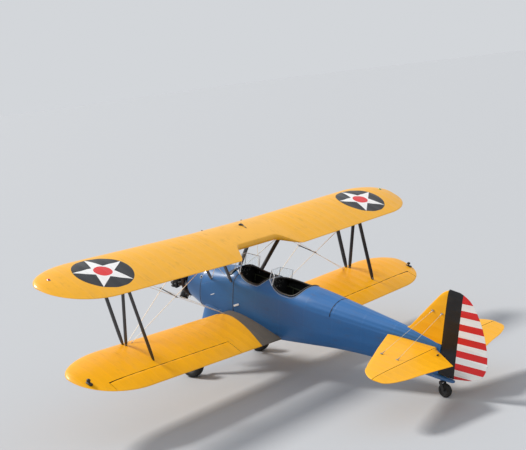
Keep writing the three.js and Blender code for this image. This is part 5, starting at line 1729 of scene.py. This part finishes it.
def exhaust():
    """A collector ring ahead of the cowl, with a stub to each cylinder and a pipe that runs aft below."""
    ring, tube, y, outlet = (EXHAUST[k] for k in ("ring", "tube", "y", "outlet"))
    count = ENGINE["cylinders"]
    turns = np.linspace(0, 2 * np.pi, 14, endpoint=False)
    section = [(tube * math.sin(turn), ring + tube * math.cos(turn)) for turn in turns]
    collector = turned(section, (0, y, THRUST), AFT, 112, closed=True)
    stubs, clamps = [], []
    for k in range(count):
        a = 2 * math.pi * k / count
        run = [
            around_engine(a, ring + 0.005, y - 0.005), around_engine(a, ring + 0.04, y - 0.045),
            around_engine(a, 0.468, -0.72)]
        stubs.append(pipe(run, 0.025, 16, 14))
        mid = a + math.pi / count
        ends = [around_engine(mid + d, ring, y) for d in (-0.035, 0.035)]
        clamps.append(pipe(ends, tube + 0.003, 20))
    start = np.array([-0.11, y, THRUST - math.sqrt(ring**2 - 0.11**2)])
    bend, end = np.array(EXHAUST["bend"]), np.array(outlet)
    path = curve([start, (start + bend) / 2, bend, (bend + end) / 2, end], np.linspace(0, 4, 40))
    tail_pipe = shell_pipe(path, 0.044, 0.002)
    piece("exhaust_pipes", [(total([collector, *stubs, *clamps, tail_pipe]), "exhaust")],
          "airframe", "exhaust_collector", slot="exhaust_metal")


def shell_pipe(path, radius, wall, sides=28):
    """An open pipe with a thin wall: out along the outside and back along the inside."""
    way = unit(np.gradient(path, axis=0))
    side = unit(np.cross(way, UP))
    top = np.cross(side, way)
    section = oval(sides)[None]
    spread = section[..., :1] * side[:, None] + section[..., 1:] * top[:, None]
    half = slice(len(path) // 2, None)
    outside = path[:, None] + radius * spread
    inside = (path[:, None] + (radius - wall) * spread)[half][::-1]
    return lofted(np.concatenate([outside, inside]))


# Propeller

# Blade stations: radius, chord, thickness, pitch angle
BLADE = np.array([
    [0.1683, 0.088, 0.086, 60], [0.23, 0.092, 0.078, 52], [0.33, 0.134, 0.056, 42], [0.47, 0.178, 0.040, 33],
    [0.65, 0.196, 0.028, 26], [0.83, 0.190, 0.021, 21], [1.0, 0.170, 0.015, 18], [1.12, 0.140, 0.011, 16],
    [1.2, 0.098, 0.008, 15], [1.236, 0.052, 0.005, 15], [1.245, 0.020, 0.0035, 15],
])
BLADE_TIP = 1.12


def blade(turn, inner, outer, rows):
    """A twisted blade between two radii: an airfoil's face and back at each station."""
    radius = np.linspace(inner, outer, rows)
    chord, thick, pitch = curve(BLADE[:, 1:], radius, BLADE[:, 0]).T[..., None]
    cos, sin = np.cos(np.radians(pitch)), np.sin(np.radians(pitch))
    phase = round_turns(32)[None, :]
    a = 0.5 * chord * np.cos(phase)
    b = 0.5 * thick * np.sin(phase) * (1 - 0.25 * np.cos(phase))
    local = joined(a * cos - b * sin, a * sin + b * cos, radius[:, None])
    spin = np.array(Matrix.Rotation(turn, 3, "Y"))
    return lofted(local @ spin.T + [0, PROP["plane"], THRUST])


def propeller():
    """A boss with two clamped sockets, and two blades with painted tips."""
    front, back, hub, plane, socket, root = (
        PROP[k] for k in ("front", "back", "hub", "plane", "socket", "root"))
    at = np.array([0, front, THRUST])
    centre = np.array([0, plane, THRUST])
    length = back - front
    profile = [
        (0, 0), (0, 0.04), (0.004, 0.046), (0.02, 0.048), (0.028, 0.06), (length - 0.02, hub),
        (length - 0.006, hub), (length, hub - 0.01), (length, 0)]
    body = turned(profile, at, AFT, 48)
    nut = turned([(0, 0), (0, 0.026), (0.022, 0.03), (0.022, 0)], at - AFT * 0.02, AFT, 6)
    cup = [(0, 0), (0, socket - 0.004), (root - 0.006, socket), (root, socket - 0.005), (root, 0)]
    band = [(0, socket), (0, socket + 0.009), (0.03, socket + 0.009), (0.03, socket)]
    turns = [math.radians(PROP["rest"]), math.radians(PROP["rest"] + 180)]
    sockets, clamps, bolts = [], [], []
    for turn in turns:
        out, side = spokes(turn)
        sockets.append(turned(cup, centre, out, 36))
        clamps.append(turned(band, centre + out * (root - 0.05), out, 36))
        for s in (-1, 1):
            foot = centre + out * (root - 0.035) + side * s * (socket + 0.014)
            bolts.append(pipe([foot - AFT * 0.03, foot + AFT * 0.03], 0.006, 8))
            bolts.append(block(foot, (0.012, 0.022, 0.014), np.stack([side, AFT, out])))
    piece("propeller_boss", [
        (body, "fitting steel"), (nut, "bright alloy"), (total(sockets), "fitting steel"),
        (total(clamps + bolts), "bright alloy")], "propeller", "propeller_hub", slot="fitting_steel")
    for k, turn in enumerate(turns, 1):
        inner = blade(turn, BLADE[0, 0], BLADE_TIP, 60)
        tip = blade(turn, BLADE_TIP, BLADE[-1, 0], 26)
        piece(f"blade_{k}", [(inner, "blade alloy"), (tip, "blade tip")], "propeller", f"propeller_blade_{k}",
              slot="blade_metal")


# Wheels and legs

def tyre(centre, size, grooves=5, depth=0.004):
    """A tyre's section turned: a superellipse from bead to bead, with grooves round its crown."""
    outer, rim, half = size["tyre"], size["rim"], size["width"] / 2
    crown = 0.56 * half
    angle = np.linspace(-0.5 * np.pi, 0.5 * np.pi, 97)
    x = half * bent(np.sin(angle), 0.8)
    mid = rim + 0.42 * (outer - rim)
    groove = (np.cos(np.pi * grooves * x / crown) > 0.8) & (np.abs(x) < crown)
    r = mid + (outer - mid) * np.abs(np.cos(angle)) ** 0.62 - depth * groove
    share = np.linspace(0, 1, 14)[1:]
    wall_x = half * (1 - 0.4 * share**2)
    wall_r = mid - (mid - rim) * share
    profile = np.concatenate([
        np.stack([-wall_x[::-1], wall_r[::-1]], -1), np.stack([x, r], -1), np.stack([wall_x, wall_r], -1)])
    return turned(profile, centre, (1, 0, 0), 120, closed=True)


def main_wheels():
    """Tyres and discs, with a hub cap, a ring of screws and a valve on the outer side."""
    rim = MAIN["rim"]
    disc = [
        (-0.07, 0), (-0.07, rim - 0.004), (-0.06, rim), (0.06, rim), (0.066, rim - 0.006),
        (0.07, rim - 0.014), (0.08, 0.6 * rim), (0.087, 0.35 * rim), (0.09, 0.2 * rim), (0.09, 0)]
    for side, sign in SIDES.items():
        centre = middle_of(f"tyre_{side}")
        outward = np.array([sign, 0.0, 0.0])
        cap = turned(disc, centre, outward, 72)
        hub = turned([(0, 0), (0, 0.03), (0.012, 0.026), (0.014, 0)], centre + outward * 0.086, outward, 24)
        angles = np.linspace(0, 2 * np.pi, 12, endpoint=False)
        spots = centre + outward * 0.0755 + 0.135 * np.stack([0 * angles, np.cos(angles), np.sin(angles)], -1)
        screws = copies(dome(0.005, 0.003, 6), spots, facing(np.broadcast_to(outward, spots.shape), AFT))
        stem = [centre + outward * 0.07 + [0, 0.11, 0.02], centre + outward * 0.095 + [0, 0.112, 0.021]]
        valve = pipe(stem, 0.004, 8)
        body = f"main_wheel_{side}"
        piece(f"main_tyre_{side}", [(tyre(centre, MAIN), "tyre rubber")], body, f"tyre_{side}", slot="tyre",
              level=False)
        piece(f"wheel_cover_{side}", [
            (cap, "wheel grey"), (hub, "fitting steel"), (screws, "fitting steel"), (valve, "brass")],
            body, f"wheel_{side}", slot="wheel_paint", level=False)


# Stations down a leg: x, y, z, chord, thickness
LEG = np.array([
    [0.300, 0.255, -0.600, 0.560, 0.176],
    [0.412, 0.262, -0.812, 0.476, 0.162],
    [0.520, 0.269, -1.016, 0.395, 0.149],
    [0.620, 0.275, -1.205, 0.320, 0.136],
    [0.689, 0.287, -1.410, 0.242, 0.121],
    [0.739, 0.295, -1.560, 0.186, 0.111],
    [0.772, 0.300, -1.655, 0.150, 0.104],
])
LEG_COLLAR = np.array([[0.612, 0.2745, -1.19, 0.336, 0.146], [0.626, 0.2755, -1.216, 0.326, 0.144]])


def fairing(stations, rows, points=40):
    """A streamlined section, blunt ahead and fine aft, carried down a row of stations."""
    path = curve(stations, np.linspace(0, len(stations) - 1, rows))
    turn = round_turns(points)
    section = np.stack([0.5 * np.sin(turn) * (1 - 0.35 * np.cos(turn)), 0.5 * np.cos(turn)], -1)
    return swept(path[:, :3], section, up=AFT, sizes=path[:, [4, 3]])


def gear_legs():
    """Streamlined legs with a collar, an axle stub and a brake hose."""
    _, y, z = MAIN_WHEEL
    leg = fairing(LEG, 50)
    boss = [(0, 0), (0, 0.058), (0.006, 0.062), (0.112, 0.062), (0.118, 0.058), (0.124, 0)]
    axle = turned(boss, (MAIN["leg"] - 0.058, y, z), (1, 0, 0))
    spindle = cylinder((MAIN["leg"], y, z), (1, 0, 0), 0.03, 0.2)
    collar = fairing(LEG_COLLAR, 4)
    hose = pipe([(0.60, 0.44, -1.17), (0.67, 0.41, -1.36), (0.73, 0.392, -1.52), (0.80, 0.37, -1.62)],
                0.006, 8, 30)
    sided(("leg_fairing_*", [
        (leg + collar + axle, "fuselage blue"), (spindle, "fitting steel"), (hose, "tyre rubber")],
        "airframe", "gear_leg_*", "leg_paint"))


def tail_wheel():
    """A small tyre and rim between the arms of a fork whose stem stands above its crown."""
    centre = middle_of("tailwheel_tyre")
    rubber = tyre(centre, REAR, grooves=3, depth=0.003)
    profile = [
        (-0.032, 0), (-0.032, 0.03), (-0.03, 0.056), (-0.034, 0.066), (0.034, 0.066), (0.03, 0.056),
        (0.032, 0.03), (0.032, 0)]
    hub = turned(profile, centre, (1, 0, 0), 48)
    piece("tail_tyre", [(rubber, "tyre rubber")], "tail_wheel", "tailwheel_tyre", slot="tyre", level=False)
    piece("tail_rim", [(hub, "engine black")], "tail_wheel", "tailwheel_rim", slot="wheel_paint", level=False)
    rise, arm, thick, trail = 0.157, 0.0615, 0.011, REAR["trail"]
    crown = centre + [0, -trail, rise]
    parts = []
    for s in (-1, 1):
        # Place from the wheel's centre, width along and thickness
        rows = np.array([
            (s * arm, 0.0, 0.0, 0.046, thick), (s * arm, -0.012, 0.06, 0.05, thick),
            (s * arm, -0.034, 0.12, 0.058, thick), (s * arm * 0.98, -trail, rise, 0.064, thick)])
        path = curve(rows, np.linspace(0, 3, 20))
        parts.append(swept(path[:, :3] + centre, oval(16, 0.5, 0.5, 4), up=AFT, sizes=path[:, [4, 3]]))
        parts.append(cylinder(centre + [s * (arm + 0.004), 0, 0], (s, 0, 0), 0.022, 0.012))
    parts.append(block(crown, (arm + 0.008, 0.034, 0.017)))
    parts.append(cylinder(crown, UP, 0.017, 0.075))
    parts.append(pipe([centre + [-arm, 0, 0], centre + [arm, 0, 0]], 0.0098, 16))
    piece("tail_fork_arms", [(total(parts), "engine black")], "tail_fork", "tailwheel_fork",
          slot="fitting_steel", level=False)


KEPT_SOLIDS = {
    "tailwheel_strut": "fuselage blue", "cockpit_floor": "board", "panel_front": "panel black",
    "panel_rear": "panel black"}


def kept_solids():
    """The solids that stay as they are in CAD, each with a finish of its own."""
    for name, look in KEPT_SOLIDS.items():
        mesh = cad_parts[name].data
        mesh.materials.clear()
        mesh.materials.append(material(look))


# Struts and rigging

def on_wing(wing, x, c, side):
    chord, y, _, tilt = rib(wing, x)
    return skin_at(wing, x, float(y + chord * c * math.cos(tilt)), side)


def strut_end(which, end):
    wing, side = (LOWER, 1) if end == "foot" else (UPPER, -1)
    return on_wing(wing, *STRUTS[which][end], side)


def strut(foot, head, chord, thick, rows=24):
    """A streamlined strut that narrows at both ends."""
    share = np.linspace(0, 1, rows)
    path = np.asarray(foot) + share[:, None] * (np.asarray(head) - foot)
    ease = 0.62 + 0.38 * np.clip(np.minimum(share, 1 - share) / 0.12, 0, 1) ** 0.6
    thin = thick * (0.7 + 0.3 * (ease - 0.62) / 0.38)
    return fairing(np.column_stack([path, chord * ease, thin]), rows * 2)


def end_fitting(at, way, length=0.07):
    """A forked end on a strut, with its bolt."""
    axes = frame_along(way)
    side, _, way = axes
    body = block(np.asarray(at) + way * length / 2, (0.012, 0.02, length / 2), np.stack(axes), power=4)
    bolt = pipe([at + way * 0.02 - side * 0.022, at + way * 0.02 + side * 0.022], 0.006, 8)
    return body + bolt


def struts():
    """Struts between the wings and then those over the cabin, each with a forked fitting at both ends."""
    runs = {
        f"strut_{which}": (strut_end(which, "foot"), strut_end(which, "head"), *STRUTS[which]["size"])
        for which in STRUTS}
    low = strut_end("front", "foot") + [0, DIAGONAL["behind"], 0]
    high = strut_end("rear", "head") - [0, DIAGONAL["ahead"], 0]
    runs["strut_diagonal"] = (low, high, *DIAGONAL["size"])
    for name, place in CABANES.items():
        runs[f"cabane_{name}"] = (np.array(place["foot"]), skin_at(UPPER, *place["head"], -1), *CABANE)
    for name, (low, high, chord, thick) in runs.items():
        bar = strut(low, high, chord, thick)
        ends = end_fitting(low, high - low) + end_fitting(high, low - high)
        sided((f"{name}_fairing_*", [(bar, "strut black"), (ends, "fitting steel")],
               "airframe", f"{name}_*", "strut_paint"))


def wire(start, end, radius, flat=0.45):
    """A streamlined wire with a threaded round end, a lock nut and a fork at each end."""
    start, end = np.asarray(start, float), np.asarray(end, float)
    way = unit(end - start)
    body = swept([start + way * 0.06, end - way * 0.06], oval(10, flat * radius, radius), up=(0, 1, 0.02))
    fork = [(0, 0), (0, 0.006), (0.035, 0.007), (0.04, 0.0045), (0.085, 0.004), (0.09, 0)]
    parts = []
    for at, inward in [(start, way), (end, -way)]:
        parts.append(turned(fork, at, inward, 10))
        parts.append(cylinder(at + inward * 0.045, inward, 0.0085, 0.008, 6))
    return body, total(parts)


def wire_ends(kind, which):
    """The inner and outer end of a stay between the wings."""
    data = WIRES[kind]
    y, outer_x, c = data[which]
    if kind == "flying":
        return np.array([data["inner"], y, data["z"]]), on_wing(UPPER, outer_x, c, -1)
    return skin_at(UPPER, data["inner"], y, -1), on_wing(LOWER, outer_x, c, 1)


def stays():
    """The wires between the wings; the flying wires start just inside the fuselage skin."""
    for kind in WIRES:
        for which in ("front", "rear"):
            inner, outer = wire_ends(kind, which)
            if kind == "flying":
                inner = inner - [0.01, 0, 0]
            body, ends = wire(inner, outer, sizes().wire)
            sided((f"{kind}_stay_{which}_*", [(body, "wire steel"), (ends, "bright alloy")],
                   "airframe", f"{kind}_wire_{which}_*", "wire_steel"))


def crossing(first, second):
    """The middle of the shortest line between two straight wires."""
    (a, b), (c, d) = first, second
    u, v, w = b - a, d - c, a - c
    uu, uv, vv, uw, vw = u @ u, u @ v, v @ v, u @ w, v @ w
    s = (uv * vw - vv * uw) / (uu * vv - uv * uv)
    t = (uu * vw - uv * uw) / (uu * vv - uv * uv)
    return (a + s * u + c + t * v) / 2


def spreader():
    """The rod that holds the wires apart where they cross between the wings."""
    front, rear = (
        crossing(wire_ends("landing", which), wire_ends("flying", which)) for which in ("front", "rear"))
    way = unit(rear - front)
    ends = (front - way * 0.06, rear + way * 0.06)
    share = np.linspace(0, 1, 30)
    path = ends[0] + share[:, None] * (ends[1] - ends[0])
    fat = 0.011 * np.clip(np.minimum(share, 1 - share) / 0.12, 0.12, 1) ** 0.5
    rod = swept(path, oval(14), sizes=fat)
    clips = total([block(p, (0.012, 0.016, 0.02), power=4, count=4) for p in (front, rear)])
    sided(("spreader_rod_*", [(rod, "strut black"), (clips, "fitting steel")], "airframe", None, None))


def brace_wires(name, runs, radius, looks, extra=()):
    """Thin wires between pairs of points, as one piece, with their ends and other fittings."""
    bodies, ends = zip(*[wire(a, b, radius) for a, b in runs])
    piece(name, [(total(bodies), looks[0]), (total([*ends, *extra]), looks[1])], "airframe")


def cabane_wires():
    """Crossed wires between the front cabanes, and from the feet of each side to its other heads."""
    feet = {k: np.array(v["foot"]) for k, v in CABANES.items()}
    heads = {k: skin_at(UPPER, *v["head"], -1) for k, v in CABANES.items()}
    flip = np.array([-1, 1, 1])
    runs = []
    for turn in (np.array([1, 1, 1]), flip):
        runs.append((feet["front"] * turn, heads["front"] * turn * flip))
        runs.append((feet["rear"] * turn, heads["front"] * turn))
        runs.append((feet["front"] * turn, heads["rear"] * turn))
    brace_wires("cabane_wires", runs, 0.007, ("wire steel", "bright alloy"))


def tail_wires():
    """Brace wires from the fin to the stabilizer and from there to the fuselage."""
    at = np.array([0.984, 5.056, ELEVATOR_HINGE[1]])
    runs = []
    for sign in (1, -1):
        turn = np.array([sign, 1, 1])
        for dy, fin_y in [(-0.03, 5.34), (0.3, 5.53)]:
            runs.append(((at + [0, dy, 0.03]) * turn, (0.03 * sign, fin_y, 0.87)))
            runs.append(((at + [0, dy, -0.03]) * turn, np.array([0.05, 5.2 + dy * 0.4, -0.33]) * turn))
    lugs = [block(np.asarray(p), (0.01, 0.03, 0.012), power=4, count=3) for run in runs for p in run]
    brace_wires("tail_wires", runs, 0.0035, ("tail wire", "fitting steel"), lugs)


# Small fittings

def fuel_cap():
    """The filler on the centre section with its cap, gauge and vent tube."""
    at = skin_at(UPPER, -0.22, 0.37, 1)
    profile = [
        (-0.01, 0), (-0.01, 0.052), (0.006, 0.052), (0.008, 0.04), (0.02, 0.038), (0.024, 0.03), (0.024, 0)]
    cap = turned(profile, at, (0, 0.02, 1), 40)
    gauge = pipe([at + UP * 0.02, at + UP * 0.06], 0.004, 10)
    run = [skin_at(UPPER, x, y, 1) + UP * lift for x, y, lift in [
        (-0.21, 0.4, 0.016), (-0.2, 0.45, 0.012), (-0.19, 0.53, 0.01), (-0.18, 0.57, 0.002)]]
    vent = pipe(run, 0.007, 10, 20)
    piece("fuel_cap", [(cap, "engine black"), (gauge, "brass"), (vent, "engine black")], "airframe")


def cowl_port():
    """A round opening with a light rim, high on the cowl's port side, filled with a near-black painted shade.
    """
    at, out = np.array([0.367, -0.13, -0.044]), unit(np.array([0.85, -0.12, 0.51]))
    rim = turned([(0.0, 0.034), (0.004, 0.034), (0.005, 0.029), (0.0, 0.027)], at, out, closed=True)
    hole = turned([(-0.01, 0), (-0.01, 0.028), (0.002, 0.028), (0.002, 0)], at, out)
    piece("cowl_port", [(rim, "screen frame"), (hole, "dark hollow")], "airframe")


def wing_fittings():
    """Lamps and small fittings on the wings, on both sides."""
    lamps = {"left": "lamp red", "right": "lamp green"}
    lamp_at = skin_at(UPPER, 4.62, 0.55, 1)
    glass = block(lamp_at, (0.022, 0.035, 0.018), power=2.4)
    foot = block(lamp_at - [0, 0, 0.006], (0.028, 0.044, 0.008), power=3)
    eye_at = skin_at(UPPER, 0.56, 0.05, 1)
    eye = block(eye_at, (0.014, 0.02, 0.012), power=2.6)
    tip_at = skin_at(LOWER, 4.56, 1.6, 1)
    stem = pipe([tip_at - [0, 0, 0.01], tip_at + [0, 0, 0.05]], 0.012, 12)
    clamp = block(tip_at, (0.035, 0.08, 0.018), power=4)
    head = block(tip_at + [0.01, -0.01, 0.06], (0.03, 0.035, 0.025), power=3)
    for side, sign in SIDES.items():
        piece(f"wing_lamp_{side}", [
            (glass.on(sign), lamps[side]), (foot.on(sign), "fitting steel")], "airframe")
        piece(f"tip_fitting_{side}", [((stem + clamp + head).on(sign), "engine black")], "airframe")
    piece("lifting_eyes", [(eye + eye.mirrored(), "engine black")], "airframe")


def tail_fittings():
    """The boot over the fork's stem, the horns of the trim tabs and the lamp on the rudder."""
    boot = block((0, 5.67, -0.297), (0.055, 0.245, 0.034), power=3)
    piece("tail_boot", [(boot, "fuselage blue")], "airframe")
    horn = block((*TAB_MARK, ELEVATOR_HINGE[1] + 0.028), (0.03, 0.012, 0.012), power=3)
    sided(("tab_horn_*", [(horn, "engine black")], "elevators", None, None))
    lamp = block((0, 6.497, 0.21), (0.012, 0.016, 0.02), power=2.4)
    piece("tail_lamp", [(lamp, "lamp white")], "rudder")


def side_plates():
    """Small bright plates on the fuselage sides, turned to lie along them."""
    cos, sin = math.cos(SIDE_LEAN), math.sin(SIDE_LEAN)
    lean = np.array([[0, cos, sin], [1, 0, 0], [0, -sin, cos]])
    plates = []
    for sign in (1, -1):
        plates.append(block((sign * 0.428, 0.974, -0.312), (0.08, 0.005, 0.02), lean, power=6))
        plates.append(block((sign * 0.427, 0.28, -0.29), (0.06, 0.005, 0.008), lean, power=6))
    piece("side_plates", [(total(plates), "screen frame")], "airframe")


# Stage

def stage():
    scene = bpy.context.scene
    light = scene.biplane_light
    scene.view_settings.view_transform = "Standard"
    floor = bpy.data.meshes.new("floor")
    corners = [(x * FLOOR_REACH, y * FLOOR_REACH, 0) for x, y in [(-1, -1), (1, -1), (1, 1), (-1, 1)]]
    floor.from_pydata(corners, [], [(0, 1, 2, 3)])
    made = bpy.data.objects.new("floor", floor)
    scene.collection.objects.link(made)
    ground = bpy.data.materials.new("pale floor")
    ground.use_nodes = True
    shader = ground.node_tree.nodes["Principled BSDF"]
    shader.inputs["Base Color"].default_value = rgba(light.floor)
    shader.inputs["Roughness"].default_value = 0.85
    floor.materials.append(ground)
    made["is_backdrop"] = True
    world = bpy.data.worlds.new("studio")
    world.use_nodes = True
    back = world.node_tree.nodes["Background"]
    back.inputs["Color"].default_value = rgba(light.sky)
    back.inputs["Strength"].default_value = light.sky_strength
    scene.world = world
    sun = bpy.data.lights.new("sun", "SUN")
    sun.energy = light.sun
    sun.angle = math.radians(light.sun_softness)
    sun.color = (1.0, 0.97, 0.92)
    lamp = bpy.data.objects.new("sun", sun)
    turn = Euler((math.radians(90 - light.sun_height), 0, math.radians(light.sun_turn))).to_matrix()
    lamp.matrix_world = (Matrix(TURN.tolist()) @ turn).to_4x4()
    scene.collection.objects.link(lamp)


def camera():
    """The photograph's camera: its direction from azimuth and elevation, then its roll."""
    azimuth, elevation, roll = (math.radians(CAMERA[k]) for k in ("azimuth", "elevation", "roll"))
    level = math.cos(elevation)
    back = np.array([math.sin(azimuth) * level, -math.cos(azimuth) * level, math.sin(elevation)])
    flat = unit(np.cross(-back, UP))
    up = np.cross(flat, -back)
    right = flat * math.cos(roll) + up * math.sin(roll)
    top = -flat * math.sin(roll) + up * math.cos(roll)
    data = bpy.data.cameras.new("camera")
    data.sensor_width = SENSOR
    data.lens = FOCAL * SENSOR / PICTURE_WIDTH
    data.clip_end = 2000.0
    made = bpy.data.objects.new("camera", data)
    turn = Matrix((TURN @ np.column_stack([right, top, back])).tolist()).to_4x4()
    made.matrix_world = Matrix.Translation(parked(CAMERA["place"]).tolist()) @ turn
    bpy.context.scene.collection.objects.link(made)
    bpy.context.scene.camera = made


# Settings

def colour_property(name, text, default):
    return FloatVectorProperty(
        name=name, description=text, subtype="COLOR", size=3, min=0, max=1, default=default)


def length_property(name, text, default):
    return FloatProperty(name=name, description=text, unit="LENGTH", default=default)


class BiplaneColours(bpy.types.PropertyGroup):
    wing: colour_property("Wings", "Doped cloth of wings and tail", (0.88, 0.42, 0.005))
    fuselage: colour_property("Fuselage", "Paint of the fuselage and legs", (0.03, 0.138, 0.36))
    roundel_blue: colour_property(
        "Roundel disc", "Disc of the roundel and band of the rudder", (0.008, 0.009, 0.012))
    white: colour_property("White", "Star and rudder stripes", (0.86, 0.85, 0.84))
    red: colour_property("Red", "Roundel centre and rudder stripes", (0.7, 0.02, 0.022))
    walkway: colour_property("Walkway", "Grit strip beside the fuselage", (0.2, 0.17, 0.13))


class BiplaneSizes(bpy.types.PropertyGroup):
    rib_bay: length_property("Rib spacing", "Between wing ribs", 0.2445)
    rib_sag: length_property("Cloth sag", "Depth of the cloth between ribs", 0.0045)
    tail_bay: length_property("Tail rib spacing", "Between tail ribs", 0.2)
    tape: length_property("Tape width", "Width of the tapes over ribs", 0.045)
    stripe: length_property("Rudder stripe", "Height of a stripe", 0.122)
    band_end: length_property("Rudder band end", "Where the stripes start", 5.895)
    coaming: length_property("Coaming radius", "Of the padded roll", 0.02)
    wire: length_property("Wire half width", "Of the stays between the wings", 0.009)


class BiplaneLight(bpy.types.PropertyGroup):
    floor: colour_property("Floor", "Plain floor", (0.424, 0.439, 0.464))
    sky: colour_property("Surround", "Soft light from all round", (0.93, 0.96, 1.0))
    sky_strength: FloatProperty(name="Surround strength", description="Of the soft light", default=0.7)
    sun: FloatProperty(name="Key strength", description="Of the key light", default=3.3)
    sun_softness: FloatProperty(
        name="Key width", description="Angle that the key light fills, in degrees", default=12.0)
    sun_height: FloatProperty(name="Key height", description="Degrees above the wings", default=33.0)
    sun_turn: FloatProperty(name="Key turn", description="Degrees round the upright axis", default=12.0)


# Operators, one for each piece or group of like pieces

class BIPLANE_OT_stage(bpy.types.Operator):
    """Floor, light and camera"""

    bl_idname = "biplane.stage"
    bl_label = "Stage"

    def execute(self, context):
        camera()
        stage()
        return {"FINISHED"}


class BIPLANE_OT_upper_wing(bpy.types.Operator):
    """Cloth covers of the upper wing"""

    bl_idname = "biplane.upper_wing"
    bl_label = "Upper wing"

    def execute(self, context):
        upper_wing()
        return {"FINISHED"}


class BIPLANE_OT_lower_wings(bpy.types.Operator):
    """Cloth covers of the lower wings and ailerons"""

    bl_idname = "biplane.lower_wings"
    bl_label = "Lower wings"

    def execute(self, context):
        lower_wing()
        return {"FINISHED"}


class BIPLANE_OT_tail_surfaces(bpy.types.Operator):
    """Fin, rudder, stabilizer and elevators"""

    bl_idname = "biplane.tail_surfaces"
    bl_label = "Tail surfaces"

    def execute(self, context):
        tail()
        return {"FINISHED"}


class BIPLANE_OT_fuselage(bpy.types.Operator):
    """Skin, cowl, bands and screws"""

    bl_idname = "biplane.fuselage"
    bl_label = "Fuselage"

    def execute(self, context):
        fuselage()
        cowl()
        panel_work()
        return {"FINISHED"}


class BIPLANE_OT_cockpits(bpy.types.Operator):
    """Coamings, screens, dials, seats and controls"""

    bl_idname = "biplane.cockpits"
    bl_label = "Cockpits"

    def execute(self, context):
        for build in (coaming, coaming_trim):
            build("front")
            build("rear")
        panel_hood()
        for build in (windscreen, instruments, seat, controls):
            build("front")
            build("rear")
        inner_frame()
        return {"FINISHED"}


class BIPLANE_OT_engine(bpy.types.Operator):
    """Cylinders, case and exhaust"""

    bl_idname = "biplane.engine"
    bl_label = "Engine"

    def execute(self, context):
        engine()
        exhaust()
        return {"FINISHED"}


class BIPLANE_OT_propeller(bpy.types.Operator):
    """Boss and blades"""

    bl_idname = "biplane.propeller"
    bl_label = "Propeller"

    def execute(self, context):
        propeller()
        return {"FINISHED"}


class BIPLANE_OT_undercarriage(bpy.types.Operator):
    """Legs, wheels and the tail wheel"""

    bl_idname = "biplane.undercarriage"
    bl_label = "Undercarriage"

    def execute(self, context):
        main_wheels()
        gear_legs()
        tail_wheel()
        kept_solids()
        return {"FINISHED"}


class BIPLANE_OT_struts(bpy.types.Operator):
    """Struts between the wings and over the cabin"""

    bl_idname = "biplane.struts"
    bl_label = "Struts"

    def execute(self, context):
        struts()
        return {"FINISHED"}


class BIPLANE_OT_rigging(bpy.types.Operator):
    """Stays, spreader rods and brace wires"""

    bl_idname = "biplane.rigging"
    bl_label = "Rigging"

    def execute(self, context):
        stays()
        spreader()
        cabane_wires()
        tail_wires()
        return {"FINISHED"}


class BIPLANE_OT_fittings(bpy.types.Operator):
    """Fuel cap, lamps and plates"""

    bl_idname = "biplane.fittings"
    bl_label = "Fittings"

    def execute(self, context):
        fuel_cap()
        cowl_port()
        wing_fittings()
        tail_fittings()
        side_plates()
        return {"FINISHED"}


OPERATORS = [
    BIPLANE_OT_stage, BIPLANE_OT_upper_wing, BIPLANE_OT_lower_wings, BIPLANE_OT_tail_surfaces,
    BIPLANE_OT_fuselage, BIPLANE_OT_cockpits, BIPLANE_OT_engine, BIPLANE_OT_propeller,
    BIPLANE_OT_undercarriage, BIPLANE_OT_struts, BIPLANE_OT_rigging, BIPLANE_OT_fittings]


class BIPLANE_PT_panel(bpy.types.Panel):
    """Sizes, colours and the pieces of the biplane"""

    bl_label = "Biplane"
    bl_idname = "BIPLANE_PT_panel"
    bl_space_type = "VIEW_3D"
    bl_region_type = "UI"
    bl_category = "Biplane"

    def draw(self, context):
        for group_name in ("biplane_colours", "biplane_sizes", "biplane_light"):
            settings = getattr(context.scene, group_name)
            box = self.layout.box()
            for name in settings.__annotations__:
                box.prop(settings, name)
        for operator in OPERATORS:
            self.layout.operator(operator.bl_idname)


SETTINGS = {"biplane_colours": BiplaneColours, "biplane_sizes": BiplaneSizes, "biplane_light": BiplaneLight}
CLASSES = [*SETTINGS.values(), *OPERATORS, BIPLANE_PT_panel]


def register():
    for cls in CLASSES:
        bpy.utils.register_class(cls)
    for name, cls in SETTINGS.items():
        setattr(bpy.types.Scene, name, PointerProperty(type=cls))


def unregister():
    for name in SETTINGS:
        delattr(bpy.types.Scene, name)
    for cls in reversed(CLASSES):
        bpy.utils.unregister_class(cls)


def main():
    register()
    for operator in OPERATORS:
        getattr(bpy.ops.biplane, operator.bl_idname.split(".")[1])()
    boxes = {"cad": CAD_BOX, "visual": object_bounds()}
    {name: [list(corner) for corner in box] for name, box in boxes.items()}


if __name__ == "__main__":
    main()
